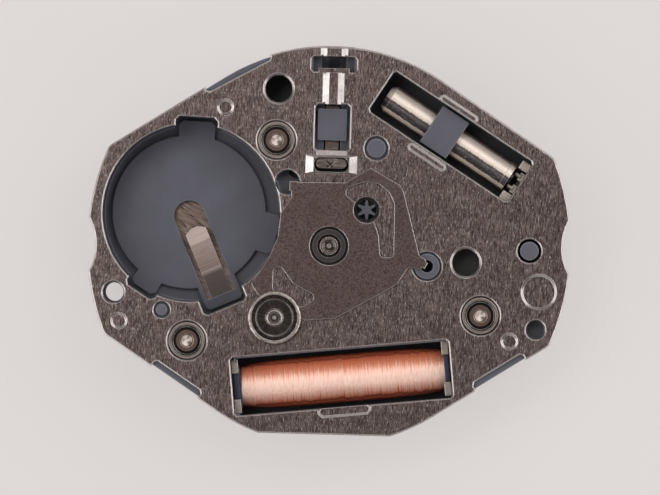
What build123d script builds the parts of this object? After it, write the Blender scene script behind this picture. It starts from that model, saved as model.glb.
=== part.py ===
from build123d import *
import math
import os

os.makedirs("parts", exist_ok=True)

# Quartz watch movement, millimetres. The origin is on the hand axis, on the face that the dial
# rests on. +Z points to the back, where the cell goes in, and +Y points out along the stem.

# Outline that the plates share
end_radius = 9.45            # round ends, left and right
side_radius = 7.82           # round stretches above and below the hand axis
flat_depth = 0.44            # straight lower edge, in from the round stretch
corner_radius = 0.45
facet_turn = 57.0            # degrees from +X to the middle of each straight facet
scallop_radius = 2.2         # shallow hollow in each round end
scallop_depth = 0.33
scallop_rise = 0.25

# Stack, from the dial side to the back
dial_plate_thick = 0.20
plastic_thick = 2.50
cover_thick = 0.20
train_cover_thick = 0.12
plate_inset = 0.08           # the plates under the cover stand back by this much
overrun = 0.4                # how far a cut runs past a face
press_gap = 0.004            # pressed pieces that do not move
seat_gap = 0.03              # pieces that lie in a pocket
running_gap = 0.02           # pivots and posts
free_gap = 0.06              # wheels and levers beside a wall
room_sides = 12

plastic_low = dial_plate_thick
plastic_top = plastic_low + plastic_thick
cover_top = plastic_top + cover_thick
flat_to_axis = side_radius - flat_depth
train_cover_top = cover_top + train_cover_thick

# Levels inside the plastic plate
motion_roof = 0.68           # roof of the pocket for the hour and minute wheels
train_floor = 0.90           # floor under the stator and the train
pivot_depth = 0.14
bridge_low = 2.35            # underside of the train bridge
board_low = 1.62
board_thick = 0.10

# Cell well
well_radius = 3.47
well_to_end = 0.56           # from the well to the round end
well_x = well_radius + well_to_end - end_radius
well_y = 1.143
well_wall_back = 0.08        # the plastic wall stands back from the edge of the cover
well_floor = 0.55
moat_floor = 0.30
moat_radius_inset = 0.45
well_wall_from = 0.95        # above this the wall round the cell is upright, below it has draft
well_draft = 0.10
shelf_shift_x = -0.125       # the shelf under the cell is not quite in the middle
shelf_shift_y = 0.037
tab_reach_margin = 0.12
well_tabs = [(88.1, 1.40, 3.62), (-13.2, 1.55, 3.44), (238.0, 1.05, 3.58)]   # turn, width, reach
tab_corner = 0.14

# Slot in the well and the contact leaf in it
slot_shift_x = -0.103
slot_shift_y = -0.113
slot_x = well_x + slot_shift_x
slot_y = well_y + slot_shift_y
slot_turn = -66.2
slot_length = 3.33
slot_half = 0.607
frame_wall = 0.155
frame_end = 0.42
frame_corner = 0.12
leaf_width = 0.85
leaf_thick = 0.10
leaf_foot_from = 3.28        # along the slot, from its round end
leaf_bend_at = 2.24
leaf_crest_at = 1.10
leaf_tip_at = 0.50
leaf_tip_slant = 0.36
leaf_tip_half = 0.106
leaf_crest_rise = 0.58
leaf_tip_drop = 0.08

# Gear train: positions from the hand axis and tooth counts
fifth_x = 1.431
fifth_y = 1.442
third_distance = 2.0
third_turn = -85.0
rotor_distance = 1.44        # from the fifth wheel
rotor_turn = -30.0
pinion_leaves = 6
fifth_teeth = 30
second_teeth = 36
third_teeth = 48
centre_teeth = 45
wheel_thick = 0.10
arbor_radius = 0.08
centre_wheel_low = 1.30
third_wheel_low = 1.64
second_wheel_low = 1.88
fifth_wheel_low = 2.06
pinion_overlap = 0.05        # a pinion is longer than its mate is thick, on each side
star_top = 2.84
wheel_hub_radius = 0.25
spoke_count = 5
spoke_width_share = 0.16     # spokes and the openings between them, as shares of the pitch radius
opening_inner_share = 0.32
opening_outer_share = 0.80

# Rotor and stator
magnet_radius = 0.60
magnet_bore = 0.24
magnet_low = 0.84
magnet_high = 1.26
stator_thick = 0.30
stator_hole = 0.74
stator_ring = 1.12
stator_arm = 0.72
stator_notch = 0.14
stator_bend_rise = 1.55       # how far the arms run straight up beside the coil
stator_left_bends = [(-2.80, -3.60), (1.20, -3.10)]
stator_right_bends = [(4.85, 0.05)]

# Hand arbors
second_arbor_radius = 0.09
second_arbor_end = -1.50
second_seat_radius = 0.085
second_seat_length = 0.35
second_taper_length = 0.55   # the arbor tapers down to the seat of its hand
tube_radius = 0.22
tube_end = -0.25
cannon_bore = 0.25
cannon_end = -1.15
cannon_seat_radius = 0.35
cannon_seat_length = 0.37
cannon_body_radius = 0.385    # at the seat; the body widens gently towards the leaves
cannon_top_radius = 0.40
cannon_leaf_low = 0.42
cannon_leaf_high = 0.62
cannon_top = 1.44
centre_hub_radius = 0.60
centre_hub_low = 1.24
centre_bridge_low = 1.48
centre_bridge_thick = 0.08
centre_bridge_half = 0.38
centre_bridge_reach = 2.35
centre_bridge_turn = 60.0
hour_tube_radius = 0.60
hour_shoulder_radius = 0.78
hour_bore = 0.42
hour_end = -0.75
hour_wheel_low = 0.26
minute_distance = 2.0
cannon_leaves = 12
minute_teeth = 36
minute_leaves = 10
hour_teeth = 40
setting_teeth = 14
minute_pinion_low = 0.24
minute_wheel_low = 0.48
setting_wheel_y = 3.60
setting_wheel_low = 0.46
setting_wheel_high = 1.12
post_radius = 0.15
post_collar = 0.30

# Hub and bearing at the back
hub_collar_radius = 0.643
hub_collar_bore = 0.46
hub_collar_high = 2.96
hub_hole = 0.757
bearing_radius = 0.40
bearing_low = 2.45
bearing_top = 2.88
oil_cup_radius = 0.26
oil_cup_depth = 0.12
bearing_bore = second_arbor_radius + running_gap
tube_bore = bearing_bore
star_hole = 0.52
star_sink_radius = 0.50      # the star pinion shows in a sunk ring of the bridge
star_sink_low = 2.48

# Stem, clutch, yoke, stop lever and setting lever
stem_level = 1.45
stem_bore = 0.475
stem_bore_inner_end = 5.56
clutch_low_y = 4.56
clutch_high_y = 5.30
clutch_radius = 0.55
clutch_bore = 0.25
clutch_groove_y = 5.10
clutch_groove_width = 0.20
clutch_groove_radius = 0.38
clutch_teeth = 12
clutch_tooth_depth = 0.12
clutch_ring_inner = 0.38
clutch_travel = 0.28
clutch_room = 0.63
yoke_x = -1.45
yoke_thick = 0.18
yoke_boss = 0.32
yoke_arm_width = 0.26
yoke_tip_width = 0.12
yoke_tip_x = -0.42
stop_lever_x = -1.25
stop_lever_y = 3.05
stop_lever_boss = 0.30
stop_lever_width = 0.22
stop_lever_tip_turn = 80.0   # where its tip meets the second wheel
stop_lever_gap = 0.10
stop_lever_tail_x = -0.95
stop_lever_tail_y = 3.95
lever_half = 0.26
lever_low = 2.12
lever_thick = 0.12
lever_pivot_y = 4.30
lever_nose_y = 5.50
lever_nose_length = 0.14
lever_nose_low = 1.85
lever_pin_radius = 0.12
lever_pin_reach = 0.50
lever_head_half = 0.60
lever_head_y = 3.22
lever_head_width = 0.38
lever_head_top = 2.93
lever_mark_size = 0.34
lever_mark_width = 0.07
lever_mark_depth = 0.05
lever_slot_low = 1.88
lever_slot_roof = 2.45
stem_block_half = 0.565
stem_block_low_y = 4.13
stem_block_high_y = 5.36
stem_block_top = 2.64

# Coil
coil_x = 0.73
coil_to_flat = 2.207
coil_y = coil_to_flat - flat_to_axis
coil_turn = 6.43
coil_length = 8.05
coil_radius = 0.95
coil_core_width = 0.70
coil_core_thick = 0.35
coil_flange_thick = 0.08
coil_flange_width = 1.72
coil_flange_height = 1.66
coil_flange_corner = 0.15
coil_ear_width = 2.00
coil_ear_length = 0.17
coil_pad_width = 1.60
coil_to_arm = 0.235
coil_arm_reach = coil_length / 2 + coil_to_arm + stator_arm / 2     # where the stator arms meet the core
coil_pad_end = coil_arm_reach + stator_arm / 2
coil_room_floor = 0.35
coil_window_end = 0.26       # from the coil to the short edge of its window
coil_window_length = coil_length + 2 * coil_window_end
coil_window_width = 2.27
coil_window_along = -0.094   # the window is not quite over the middle of the coil
coil_window_across = 0.044
coil_core_round = 0.12
wire_radius = 0.08
wire_turns = 9
wire_sides = 4
wire_margin = 0.12           # between the last turn and the flange
wire_to_core = 0.01

# Crystal
crystal_turn = -32.0
crystal_to_edge = 1.686
crystal_along = 1.515
crystal_radius = 0.60
crystal_length = 5.78
crystal_level = 1.80
crystal_end_bevel = 0.20
crystal_rim_radius = 0.64
crystal_rim_length = 0.22
seal_radius = 0.42
seal_length = 0.10
lead_radius = 0.08
lead_spread = 0.28
lead_length = 0.26
lead_pad_length = 0.30
lead_pad_width = 0.34
lead_pad_thick = 0.10
crystal_window_along = 0.087
crystal_window_across = 0.067
crystal_window_length = 6.50
crystal_window_width = 1.86
crystal_room_floor = 0.90
crystal_room_extra = 0.45      # how far the room runs on under the cover, past the leads
strap_along = -0.215
strap_length = 1.22
strap_width = 1.66
strap_top = 2.66

# Circuit board and its chip
board_to_end = 1.05
board_reach = end_radius - board_to_end
board_shares = [(0.57, 0.13), (0.80, 0.30), (0.90, 0.36), (0.97, 0.20), (1.01, -0.16), (0.86, -0.38),
                (0.68, -0.40), (0.68, -0.50), (0.60, -0.50), (0.57, -0.20)]
chip_place_share = (0.768, 0.113)
chip_x = board_reach * chip_place_share[0]
chip_y = board_reach * chip_place_share[1]
chip_side = 1.3
chip_thick = 0.35

# Pillars, headed pin, plastic pins and holes. Places are shares of the end and side radius
pillar_shares = [(-0.2295, 0.5215), (-0.5771, -0.4928), (0.6338, -0.3277)]
pillar_places = [(x * end_radius, y * side_radius) for x, y in pillar_shares]
pillar_head_radius = 0.71
pillar_head_low = 2.52
pillar_head_top = 2.86
pillar_shank = 0.42
pillar_dish_radius = 0.60
pillar_dish_depth = 0.06
pillar_pip_radius = 0.265
pillar_pip_depth = 0.16
pillar_hole = 0.76
headed_pin_x = -2.053
headed_pin_y = -2.857
headed_pin_head = 1.04
headed_pin_head_top = 3.16
headed_pin_boss = 0.33
headed_pin_boss_top = 3.22
headed_pin_dish = 0.72
headed_pin_dish_depth = 0.05
headed_pin_land = 0.88         # disc of the train cover under the head
headed_pin_shank = 0.34
headed_pin_low = 1.95
pin_shares = [(0.1846, 0.4944), (-0.6842, -0.3426), (0.8293, 0.0029)]
pin_radii = [0.363, 0.217, 0.363]
pin_hole_gap = 0.095         # of the cover round a plastic pin
plastic_pins = [(x * end_radius, y * side_radius, radius) for (x, y), radius in zip(pin_shares, pin_radii)]
plastic_pin_top = 2.88
tube_pin_x = 3.852
tube_pin_y = -0.691
tube_pin_radius = 0.493
tube_pin_bore = 0.237
tube_pin_hole = 0.556
tube_pin_depth = 0.9
tab_hole_x = -1.692
tab_hole_y = 2.442
tab_hole_radius = 0.473
tab_hole_depth = 0.6
dark_hole_shares = [(-0.2260, 0.7789), (0.5674, -0.0642)]
dark_hole_radius = 0.53
dark_hole_depths = [2.2, 0.9]
dark_hole_rim = 0.09
dial_foot_to_end = 1.075
dial_foot_x = dial_foot_to_end - end_radius
dial_foot_y = -2.039
dial_foot_radius = 0.37
dial_foot_depth = 1.6
dial_foot_mouth_radius = 0.42
blind_foot_to_end = 1.292
blind_foot_x = end_radius - blind_foot_to_end
blind_foot_y = -3.05
blind_foot_web = 0.6
rim_chamfer = 0.05
boss_shares = [(-0.4441, 0.6785), (-0.8595, -0.4037), (0.7569, -0.4522), (0.8729, -0.2004)]
boss_radii = [0.33, 0.33, 0.34, 0.706]
boss_height = 0.09
boss_bevel = 0.09

# Windows, ribs and lips of the cover
stem_window_to_edge = 0.724
stem_window_y = side_radius - stem_window_to_edge
stem_window_length = 1.76
stem_window_width = 0.584
block_window_y = 4.635
block_window_length = 1.80
block_window_width = 1.36
window_corner = 0.10
hump_length = 2.01
hump_width = 0.70
hump_y = 3.175
hump_height = 0.15
hump_end_slope = 0.30
hump_side_slope = 0.06
hump_slot_length = 1.37
hump_slot_width = 0.57
rib_height = 0.13
rib_slope = 0.09
stem_rib_slope = 0.24
stem_rib_width = 0.83
stem_rib_gap = 0.03          # from a rib to the window beside it
edge_rib_width = 1.06
edge_rib_inset = 0.10
crystal_rib_along = -0.25
crystal_rib_across = 1.13
crystal_rib_length = 1.74
crystal_rib_width = 0.32
coil_rib_along = -0.083
coil_rib_across = 1.235
coil_rib_length = 2.09
coil_rib_width = 0.46
rib_corner_share = 0.34
lip_thick = 0.14
lip_drop = 0.26
lip_half = 0.60
block_lip_width = 0.18
block_lip_drop = 0.12
notch_depth = 0.31
notch_corner = 0.10
cover_notches = [(119.25, 0, 2.83), (237, 1.95, 2.19), (303, -3.11, 2.27)]   # facet turn, place, length

# Train cover: its outline and cut-outs, as shares of its reach from the hand axis
train_cover_reach = 3.85
train_cover_shares = [(-0.396, 0.664), (-0.323, 0.638), (0.143, 0.646), (0.400, 0.803), (0.705, 0.634),
                      (0.740, 0.580), (0.919, -0.071), (0.998, -0.113), (0.941, -0.215), (0.812, -0.191),
                      (0.705, -0.366), (0.603, -0.431), (0.084, -0.734), (-0.238, -0.765), (-0.30, -0.70),
                      (-0.70, -0.52), (-0.783, -0.407), (-0.610, -0.144), (-0.522, 0.079), (-0.498, 0.323),
                      (-0.396, 0.481)]
paisley_shares = [(0.243, 0.454), (0.160, 0.520), (0.160, 0.575), (0.215, 0.615), (0.343, 0.657),
                  (0.488, 0.644), (0.591, 0.564), (0.649, 0.454), (0.658, -0.100), (0.520, -0.100),
                  (0.503, 0.117), (0.449, 0.255)]
triangle_shares = [(-0.558, -0.458), (-0.558, -0.235), (-0.476, -0.228), (-0.360, -0.385),
                   (-0.145, -0.50), (-0.139, -0.557), (-0.265, -0.633)]
train_cover_round = 0.14
cutout_round = 0.16
tab_thick = 0.12
tab_drop = 0.45
bent_tabs = [(-1.55, 2.30, 0.36, 90.0), (3.768, -0.651, 0.26, 60.6)]    # x, y, length and turn
bridge_inset = 0.16

# Room round the train in the plastic plate, as shares of the train cover's reach
train_room_shares = [(-0.455, -0.30), (-0.455, -0.80), (-0.26, -1.02), (0.34, -1.02), (0.56, -0.82),
                     (0.56, -0.30), (0.88, 0.02), (0.90, 0.36), (0.70, 0.64), (0.55, 0.75), (0.20, 0.75)]


def polar(distance, turn):
    return distance * math.cos(math.radians(turn)), distance * math.sin(math.radians(turn))


# Places that follow from the gears
second_module = 2 * math.hypot(fifth_x, fifth_y) / (second_teeth + pinion_leaves)
third_x, third_y = polar(third_distance, third_turn)
third_module = 2 * third_distance / (third_teeth + pinion_leaves)
centre_module = 2 * third_distance / (centre_teeth + pinion_leaves)
rotor_step = polar(rotor_distance, rotor_turn)
rotor_x = fifth_x + rotor_step[0]
rotor_y = fifth_y + rotor_step[1]
rotor_module = 2 * rotor_distance / (fifth_teeth + pinion_leaves)
cannon_module = 2 * minute_distance / (cannon_leaves + minute_teeth)
hour_module = 2 * minute_distance / (minute_leaves + hour_teeth)
setting_distance = cannon_module * (setting_teeth + minute_teeth) / 2
minute_y = (setting_wheel_y ** 2 + minute_distance ** 2 - setting_distance ** 2) / (2 * setting_wheel_y)
minute_x = math.sqrt(minute_distance ** 2 - minute_y ** 2)

# Tooth form, as shares of the module
addendum_share = 0.90
dedendum_share = 1.25
wheel_root_share = 0.85
wheel_tip_share = 0.38
leaf_root_share = 0.66
leaf_tip_share = 0.46


def tip_radius(teeth, module_size):
    return module_size * (teeth / 2 + addendum_share)


ground = (Align.CENTER, Align.CENTER, Align.MIN)


def column(radius, low, high, x=0, y=0):
    return Pos(x, y, low) * Cylinder(radius, high - low, align=ground)


def taper(low_radius, high_radius, low, high, x=0, y=0):
    return Pos(x, y, low) * Cone(low_radius, high_radius, high - low, align=ground)


def plate(face, low, high):
    return extrude(Pos(0, 0, low) * face, amount=high - low, dir=(0, 0, 1))


def block(low_corner, high_corner):
    size = [high - low for low, high in zip(low_corner, high_corner)]
    return Pos(*low_corner) * Box(*size, align=(Align.MIN, Align.MIN, Align.MIN))


def turned(x, y, turn):
    return Pos(x, y) * Rot(0, 0, turn)


def sunk_hole(radius, low, high, x, y, rim=rim_chamfer):
    """A hole with a chamfered rim at its upper end."""
    sink = taper(radius, radius + 2 * rim, high - rim, high + rim, x, y)
    return column(radius, low, high + overrun, x, y) + sink


def rounded_outline(points, corner):
    face = make_face(Polyline(*points, close=True))
    return fillet(face.vertices(), corner) if corner else face


def cornered_face(length, width, corner):
    """A rectangle whose corners are cut off."""
    return chamfer(Rectangle(length, width).vertices(), corner)


def room_face(radius):
    """A faceted room round a wheel, nowhere nearer to its middle than the radius."""
    return RegularPolygon(radius, room_sides, major_radius=False)


def strip_face(points, width):
    """A flat strip along a run of points, with mitred corners."""
    spots = [Vector(x, y) for x, y in points]
    runs = [(after - before).normalized() for before, after in zip(spots, spots[1:])]
    left = []
    right = []
    for spot, before, after in zip(spots, runs[:1] + runs, runs + runs[-1:]):
        aside = Vector(-before.Y - after.Y, before.X + after.X) * (width / 2 / (1 + before.dot(after)))
        left.append(spot + aside)
        right.append(spot - aside)
    return make_face(Polyline(*left, *reversed(right), close=True))


def toothed_face(teeth, module_size, phase, root_share, tip_share):
    """The face of a wheel or pinion, with one tooth at the angle phase."""
    root = module_size * (teeth / 2 - dedendum_share)
    tip = tip_radius(teeth, module_size)
    sides = [(root, -root_share), (tip, -tip_share), (tip, tip_share), (root, root_share)]
    points = []
    for number in range(teeth):
        angle = math.radians(phase + number * 360 / teeth)
        for radius, share in sides:
            aside = share * module_size
            points.append((radius * math.cos(angle) - aside * math.sin(angle),
                           radius * math.sin(angle) + aside * math.cos(angle)))
    return make_face(Polyline(*points, close=True))


def wheel_face(teeth, module_size, phase):
    return toothed_face(teeth, module_size, phase, wheel_root_share, wheel_tip_share)


def pinion_face(leaves, module_size, phase):
    return toothed_face(leaves, module_size, phase, leaf_root_share, leaf_tip_share)


def meshed_phase(teeth, phase, line_turn, mate_teeth):
    """Phase of the mate that lies at line_turn from a wheel, so that its gap takes the tooth."""
    pitch = 360 / teeth
    ahead = (line_turn - phase) % pitch
    return line_turn + 180 + ahead * teeth / mate_teeth + 180 / mate_teeth


def direction(from_x, from_y, to_x, to_y):
    return math.degrees(math.atan2(to_y - from_y, to_x - from_x))


def spoke_openings(teeth, module_size, phase=0):
    """Openings between the spokes of a wheel."""
    pitch_radius = teeth * module_size / 2
    half_pitch = 180 / spoke_count
    inner = pitch_radius * opening_inner_share
    outer = pitch_radius * opening_outer_share
    inner_half = half_pitch - math.degrees(math.asin(spoke_width_share / 2 / opening_inner_share))
    outer_half = half_pitch - math.degrees(math.asin(spoke_width_share / 2 / opening_outer_share))
    corners = [polar(inner, -inner_half), polar(outer, -outer_half), polar(outer, 0),
               polar(outer, outer_half), polar(inner, inner_half)]
    opening = make_face(Polyline(*corners, close=True))
    return [Rot(0, 0, phase + number * 2 * half_pitch) * opening for number in range(spoke_count)]


def body_outline(inset):
    """Two round ends cut by four straight facets, with a flat lower edge."""
    radius = side_radius - inset
    reach = end_radius - inset
    apex = radius / math.cos(math.radians(facet_turn))
    touch_x, touch_y = polar(radius, facet_turn)
    points = [(touch_x, touch_y), (-touch_x, touch_y), (-apex, 0), (-touch_x, -touch_y), (touch_x, -touch_y)]
    face = make_face(Polyline(*points, (apex, 0), close=True)) + Circle(radius)
    face = face & Circle(reach)
    for side in (1, -1):
        scallop_x = side * (reach - scallop_depth + scallop_radius)
        face -= Pos(scallop_x, side * scallop_rise) * Circle(scallop_radius)
    below = side_radius - flat_to_axis + overrun
    face -= Pos(0, inset - flat_to_axis - below / 2) * Rectangle(2 * end_radius, below)
    corner_turn = facet_turn - math.degrees(math.acos(radius / reach))
    turns = (corner_turn, 180 - corner_turn, 180 + corner_turn, -corner_turn)
    spots = [Vector(*polar(reach, turn)) for turn in turns]
    corners = [face.vertices().sort_by_distance(spot)[0] for spot in spots]
    return fillet(corners, corner_radius)


def slot_frame_face(grow):
    """The rectangle of plastic round the lower end of the slot."""
    half = slot_half + frame_wall + grow
    length = slot_length / 2 + frame_end + grow
    middle = slot_length / 2 + length / 2
    spot = turned(slot_x, slot_y, slot_turn) * Pos(middle, 0)
    return spot * cornered_face(length, 2 * half, frame_corner)


def well_tab_faces(grow):
    faces = []
    for turn, width, reach in well_tabs:
        length = reach - well_radius / 2 + grow
        middle = well_radius / 2 + length / 2
        faces.append(turned(well_x, well_y, turn) * Pos(middle, 0)
                     * cornered_face(length, width + 2 * grow, tab_corner))
    return faces


def well_bays(grow):
    """Bays of the well for its tabs and its slot frame."""
    bay = grow + tab_reach_margin
    return [*well_tab_faces(bay), slot_frame_face(bay)]


def slot_face(grow):
    straight = Pos(slot_length / 2, 0) * Rectangle(slot_length, 2 * (slot_half + grow))
    return turned(slot_x, slot_y, slot_turn) * (straight + Circle(slot_half + grow))


def outline_of_shares(shares, reach, corner):
    return rounded_outline([(x * reach, y * reach) for x, y in shares], corner)


def train_cover_face():
    return outline_of_shares(train_cover_shares, train_cover_reach, train_cover_round)


def train_bridge_face(inset):
    """The bridge follows the train cover and takes the headed pin through an ear."""
    face = outline_of_shares(train_cover_shares, train_cover_reach, 0)
    face = offset(face, amount=-inset, kind=Kind.INTERSECTION)
    return face + Pos(headed_pin_x, headed_pin_y) * Circle(headed_pin_land - inset)


def coil_at(along, across=0):
    return turned(coil_x, coil_y, coil_turn) * Pos(along, across)


def crystal_at(along, across=0):
    return Rot(0, 0, crystal_turn) * Pos(crystal_along + along, side_radius - crystal_to_edge + across)


def centre_bridge_face(grow):
    face = Rectangle(2 * (centre_bridge_reach + grow), 2 * (centre_bridge_half + grow))
    return Rot(0, 0, centre_bridge_turn) * face


def stator_arm_path():
    """Middle line of the two stator arms, from the ends of the coil core to the rotor."""
    left_end = coil_at(-coil_arm_reach).position
    right_end = coil_at(coil_arm_reach).position
    left_bend = coil_at(-coil_arm_reach, stator_bend_rise).position
    right_bend = coil_at(coil_arm_reach, stator_bend_rise).position
    left = [(left_end.X, left_end.Y), (left_bend.X, left_bend.Y), *stator_left_bends,
            (rotor_x - stator_ring / 2, rotor_y - stator_ring / 2)]
    right = [(right_end.X, right_end.Y), (right_bend.X, right_bend.Y), *stator_right_bends,
             (rotor_x + stator_ring / 2, rotor_y)]
    return left, right


def stator_face(grow):
    left, right = stator_arm_path()
    face = strip_face(left, stator_arm + 2 * grow) + strip_face(right, stator_arm + 2 * grow)
    return face + Pos(rotor_x, rotor_y) * Circle(stator_ring + grow)


def make_dial_side_plate():
    plate_face = body_outline(plate_inset)
    plate_face -= Circle(hour_shoulder_radius + free_gap)
    plate_face -= Pos(dial_foot_x, dial_foot_y) * Circle(dial_foot_radius)
    plate_face -= Pos(blind_foot_x, blind_foot_y) * Circle(dial_foot_radius)
    for x, y in pillar_places:
        plate_face -= Pos(x, y) * Circle(pillar_shank + press_gap)
    return plate(plate_face, 0, dial_plate_thick)


def make_main_plate():
    top = plastic_top + overrun
    body = plate(body_outline(plate_inset), plastic_low, plastic_top)

    # Cell well: a moat round a shelf, with three tabs and the slot for the contact
    for bay in well_bays(well_wall_back):
        body -= plate(bay, moat_floor, top)
    wall = well_radius + well_wall_back
    body -= taper(wall - well_draft, wall, moat_floor, well_wall_from, well_x, well_y)
    body -= column(wall, well_wall_from, top, well_x, well_y)
    shelf = Pos(well_x + shelf_shift_x, well_y + shelf_shift_y) * Circle(well_radius - moat_radius_inset)
    for tab in well_tab_faces(0):
        shelf += tab
    shelf += slot_frame_face(0)
    body += plate(shelf, moat_floor - (moat_floor - plastic_low) / 2, well_floor)
    body -= plate(slot_face(0), 0, top)

    # Train and motion works
    deep = train_floor - pivot_depth
    body -= plate(outline_of_shares(train_room_shares, train_cover_reach, 0), train_floor, top)
    body -= column(tip_radius(centre_teeth, centre_module) + free_gap / 2, train_floor, top)
    body -= plate(Pos(rotor_x, rotor_y) * room_face(magnet_radius + free_gap), magnet_low - free_gap, top)
    body -= column(cannon_top_radius + seat_gap, 0, train_floor + overrun)
    for x, y in ((third_x, third_y), (fifth_x, fifth_y), (rotor_x, rotor_y)):
        body -= column(arbor_radius + running_gap, deep - free_gap, train_floor + overrun, x, y)
    body -= plate(centre_bridge_face(seat_gap), centre_bridge_low, top)
    body -= plate(train_bridge_face(bridge_inset - seat_gap), bridge_low, top)
    body -= plate(room_face(tip_radius(hour_teeth, hour_module) + free_gap), 0, motion_roof)
    minute_room = Pos(minute_x, minute_y) * room_face(tip_radius(minute_teeth, cannon_module) + free_gap)
    body -= plate(minute_room, 0, motion_roof)
    body -= column(post_radius + press_gap, 0, minute_post_top(), minute_x, minute_y)
    setting_room = Pos(0, setting_wheel_y) * room_face(tip_radius(setting_teeth, cannon_module) + free_gap)
    body -= plate(setting_room, 0, setting_wheel_high + free_gap)

    # Stator, coil and crystal rooms
    body -= plate(stator_face(seat_gap), train_floor, top)
    room = coil_at(0) * Rectangle(coil_length + 2 * coil_flange_thick + 2 * free_gap, coil_window_width)
    body -= plate(room, coil_room_floor, top)
    core_level = coil_core_low()
    pads = coil_at(0) * Rectangle(2 * (coil_pad_end + seat_gap), coil_pad_width + 2 * seat_gap)
    ears = coil_at(0) * Rectangle(coil_length + 2 * coil_flange_thick + 2 * coil_ear_length + 2 * seat_gap,
                                  coil_ear_width + 2 * seat_gap)
    body -= plate(pads + ears, core_level, top)
    crystal_room = crystal_at(crystal_window_along + crystal_room_extra / 2, crystal_window_across)
    crystal_room *= Rectangle(crystal_window_length + crystal_room_extra, crystal_window_width)
    body -= plate(crystal_room, crystal_room_floor, top)
    body += make_strap()

    # Circuit board and chip
    body -= plate(board_face(seat_gap), board_low, top)
    chip_room = chip_side / 2 + seat_gap
    body -= block((chip_x - chip_room, chip_y - chip_room, board_low - chip_thick - seat_gap),
                  (chip_x + chip_room, chip_y + chip_room, top))

    body -= stem_rooms()

    # Holes for pillars, pins and dial feet
    for x, y in pillar_places:
        body -= column(pillar_shank + press_gap, 0, top, x, y)
        body -= column(pillar_head_radius + seat_gap, pillar_head_low, top, x, y)
    body -= column(headed_pin_shank + press_gap, headed_pin_low, top, headed_pin_x, headed_pin_y)
    for (x, y), depth in zip(dark_hole_shares, dark_hole_depths):
        body -= column(dark_hole_radius, plastic_top - depth, top, x * end_radius, y * side_radius)
    body -= column(tab_hole_radius, plastic_top - tab_hole_depth, top, tab_hole_x, tab_hole_y)
    body -= column(dial_foot_radius, 0, dial_foot_depth, dial_foot_x, dial_foot_y)
    body -= taper(dial_foot_radius, dial_foot_mouth_radius, dial_foot_depth, top, dial_foot_x, dial_foot_y)
    body -= column(dial_foot_radius, 0, dial_foot_depth, blind_foot_x, blind_foot_y)
    body -= column(dial_foot_radius, dial_foot_depth + blind_foot_web, top, blind_foot_x, blind_foot_y)

    # Pins and the tube that locate the cover
    for x, y, radius in plastic_pins:
        body += column(radius, board_low - board_thick, plastic_pin_top, x, y)
    body += column(tube_pin_radius, board_low - board_thick, plastic_pin_top, tube_pin_x, tube_pin_y)
    body -= column(tube_pin_bore, plastic_top - tube_pin_depth, top, tube_pin_x, tube_pin_y)
    return body


def coil_core_low():
    return train_floor + stator_thick


def make_strap():
    """A saddle of plastic that holds the crystal down."""
    saddle = crystal_at(strap_along, crystal_window_across) * Rectangle(strap_length, strap_width)
    strap = plate(saddle, crystal_room_floor - overrun, strap_top)
    tunnel = Cylinder(crystal_radius + seat_gap, crystal_length)
    return strap - crystal_at(0) * along_axis(tunnel, crystal_level)


def stem_rooms():
    """The stem bore, the clutch room, the slot of the setting lever and the rooms of the two levers."""
    top = plastic_top + overrun
    along = Pos(0, 0, stem_level) * Rot(-90, 0, 0)
    bore_length = end_radius - stem_bore_inner_end
    rooms = along * Pos(0, 0, stem_bore_inner_end) * Cylinder(stem_bore, bore_length, align=ground)
    clutch_from = clutch_low_y - clutch_travel - free_gap
    clutch_to = stem_bore_inner_end + free_gap
    rooms += along * Pos(0, 0, clutch_from) * Cylinder(clutch_room, clutch_to - clutch_from, align=ground)
    low_y = stem_window_y - stem_window_width / 2
    high_y = stem_window_y + stem_window_width / 2
    rooms += block((-stem_bore, low_y, stem_level), (stem_bore, high_y, top))
    side = stem_window_length / 2 - free_gap
    rooms += block((-side, low_y, bridge_low), (side, high_y, top))

    slot_half_x = lever_half + free_gap
    head_half = lever_head_half + free_gap
    head_low = lever_head_y - lever_head_width
    head_high = lever_head_y + lever_head_width / 2 + free_gap
    rooms += block((-slot_half_x, head_low, lever_slot_low), (slot_half_x, clutch_to, lever_slot_roof))
    rooms += block((-head_half, head_low, lever_slot_low), (head_half, head_high, top))
    rooms += block((-slot_half_x, head_low, lever_slot_low), (slot_half_x, stem_block_low_y, top))
    rooms += block((-slot_half_x, stem_block_high_y, lever_slot_low), (slot_half_x, clutch_to, top))
    pin_level = lever_low + lever_thick / 2
    pin_room = Cylinder(lever_pin_radius + running_gap, 2 * (lever_pin_reach + running_gap))
    rooms += Pos(0, lever_pivot_y, pin_level) * Rot(0, 90, 0) * pin_room

    # A moat round the block over the clutch, as deep as the block is high
    window = Pos(0, block_window_y) * cornered_face(block_window_width, block_window_length, window_corner)
    kept = block((-stem_block_half, stem_block_low_y, 0),
                 (stem_block_half, stem_block_high_y, stem_block_top))
    rooms += plate(window, bridge_low, top) - kept

    yoke_level = stem_level - yoke_thick / 2
    rooms += plate(yoke_room_face(), yoke_level - free_gap, stem_level + yoke_thick / 2 + free_gap)
    outer = plate(yoke_room_face(), yoke_level - free_gap, top)
    rooms += outer - block((-stem_block_half - free_gap, 0, 0), (end_radius, end_radius, top + overrun))
    rooms += plate(stop_lever_room_face(), second_wheel_low - free_gap, top)
    rooms += column(post_radius + press_gap, stop_post_low(), top, stop_lever_x, stop_lever_y)
    rooms += column(post_radius + press_gap, train_floor, top, yoke_x, yoke_y())
    return rooms


def stop_post_low():
    return second_wheel_low - post_collar * 2


def yoke_y():
    """Height of the yoke's pivot: the middle of the travel of its tip."""
    return clutch_groove_y - clutch_travel / 2


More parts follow.
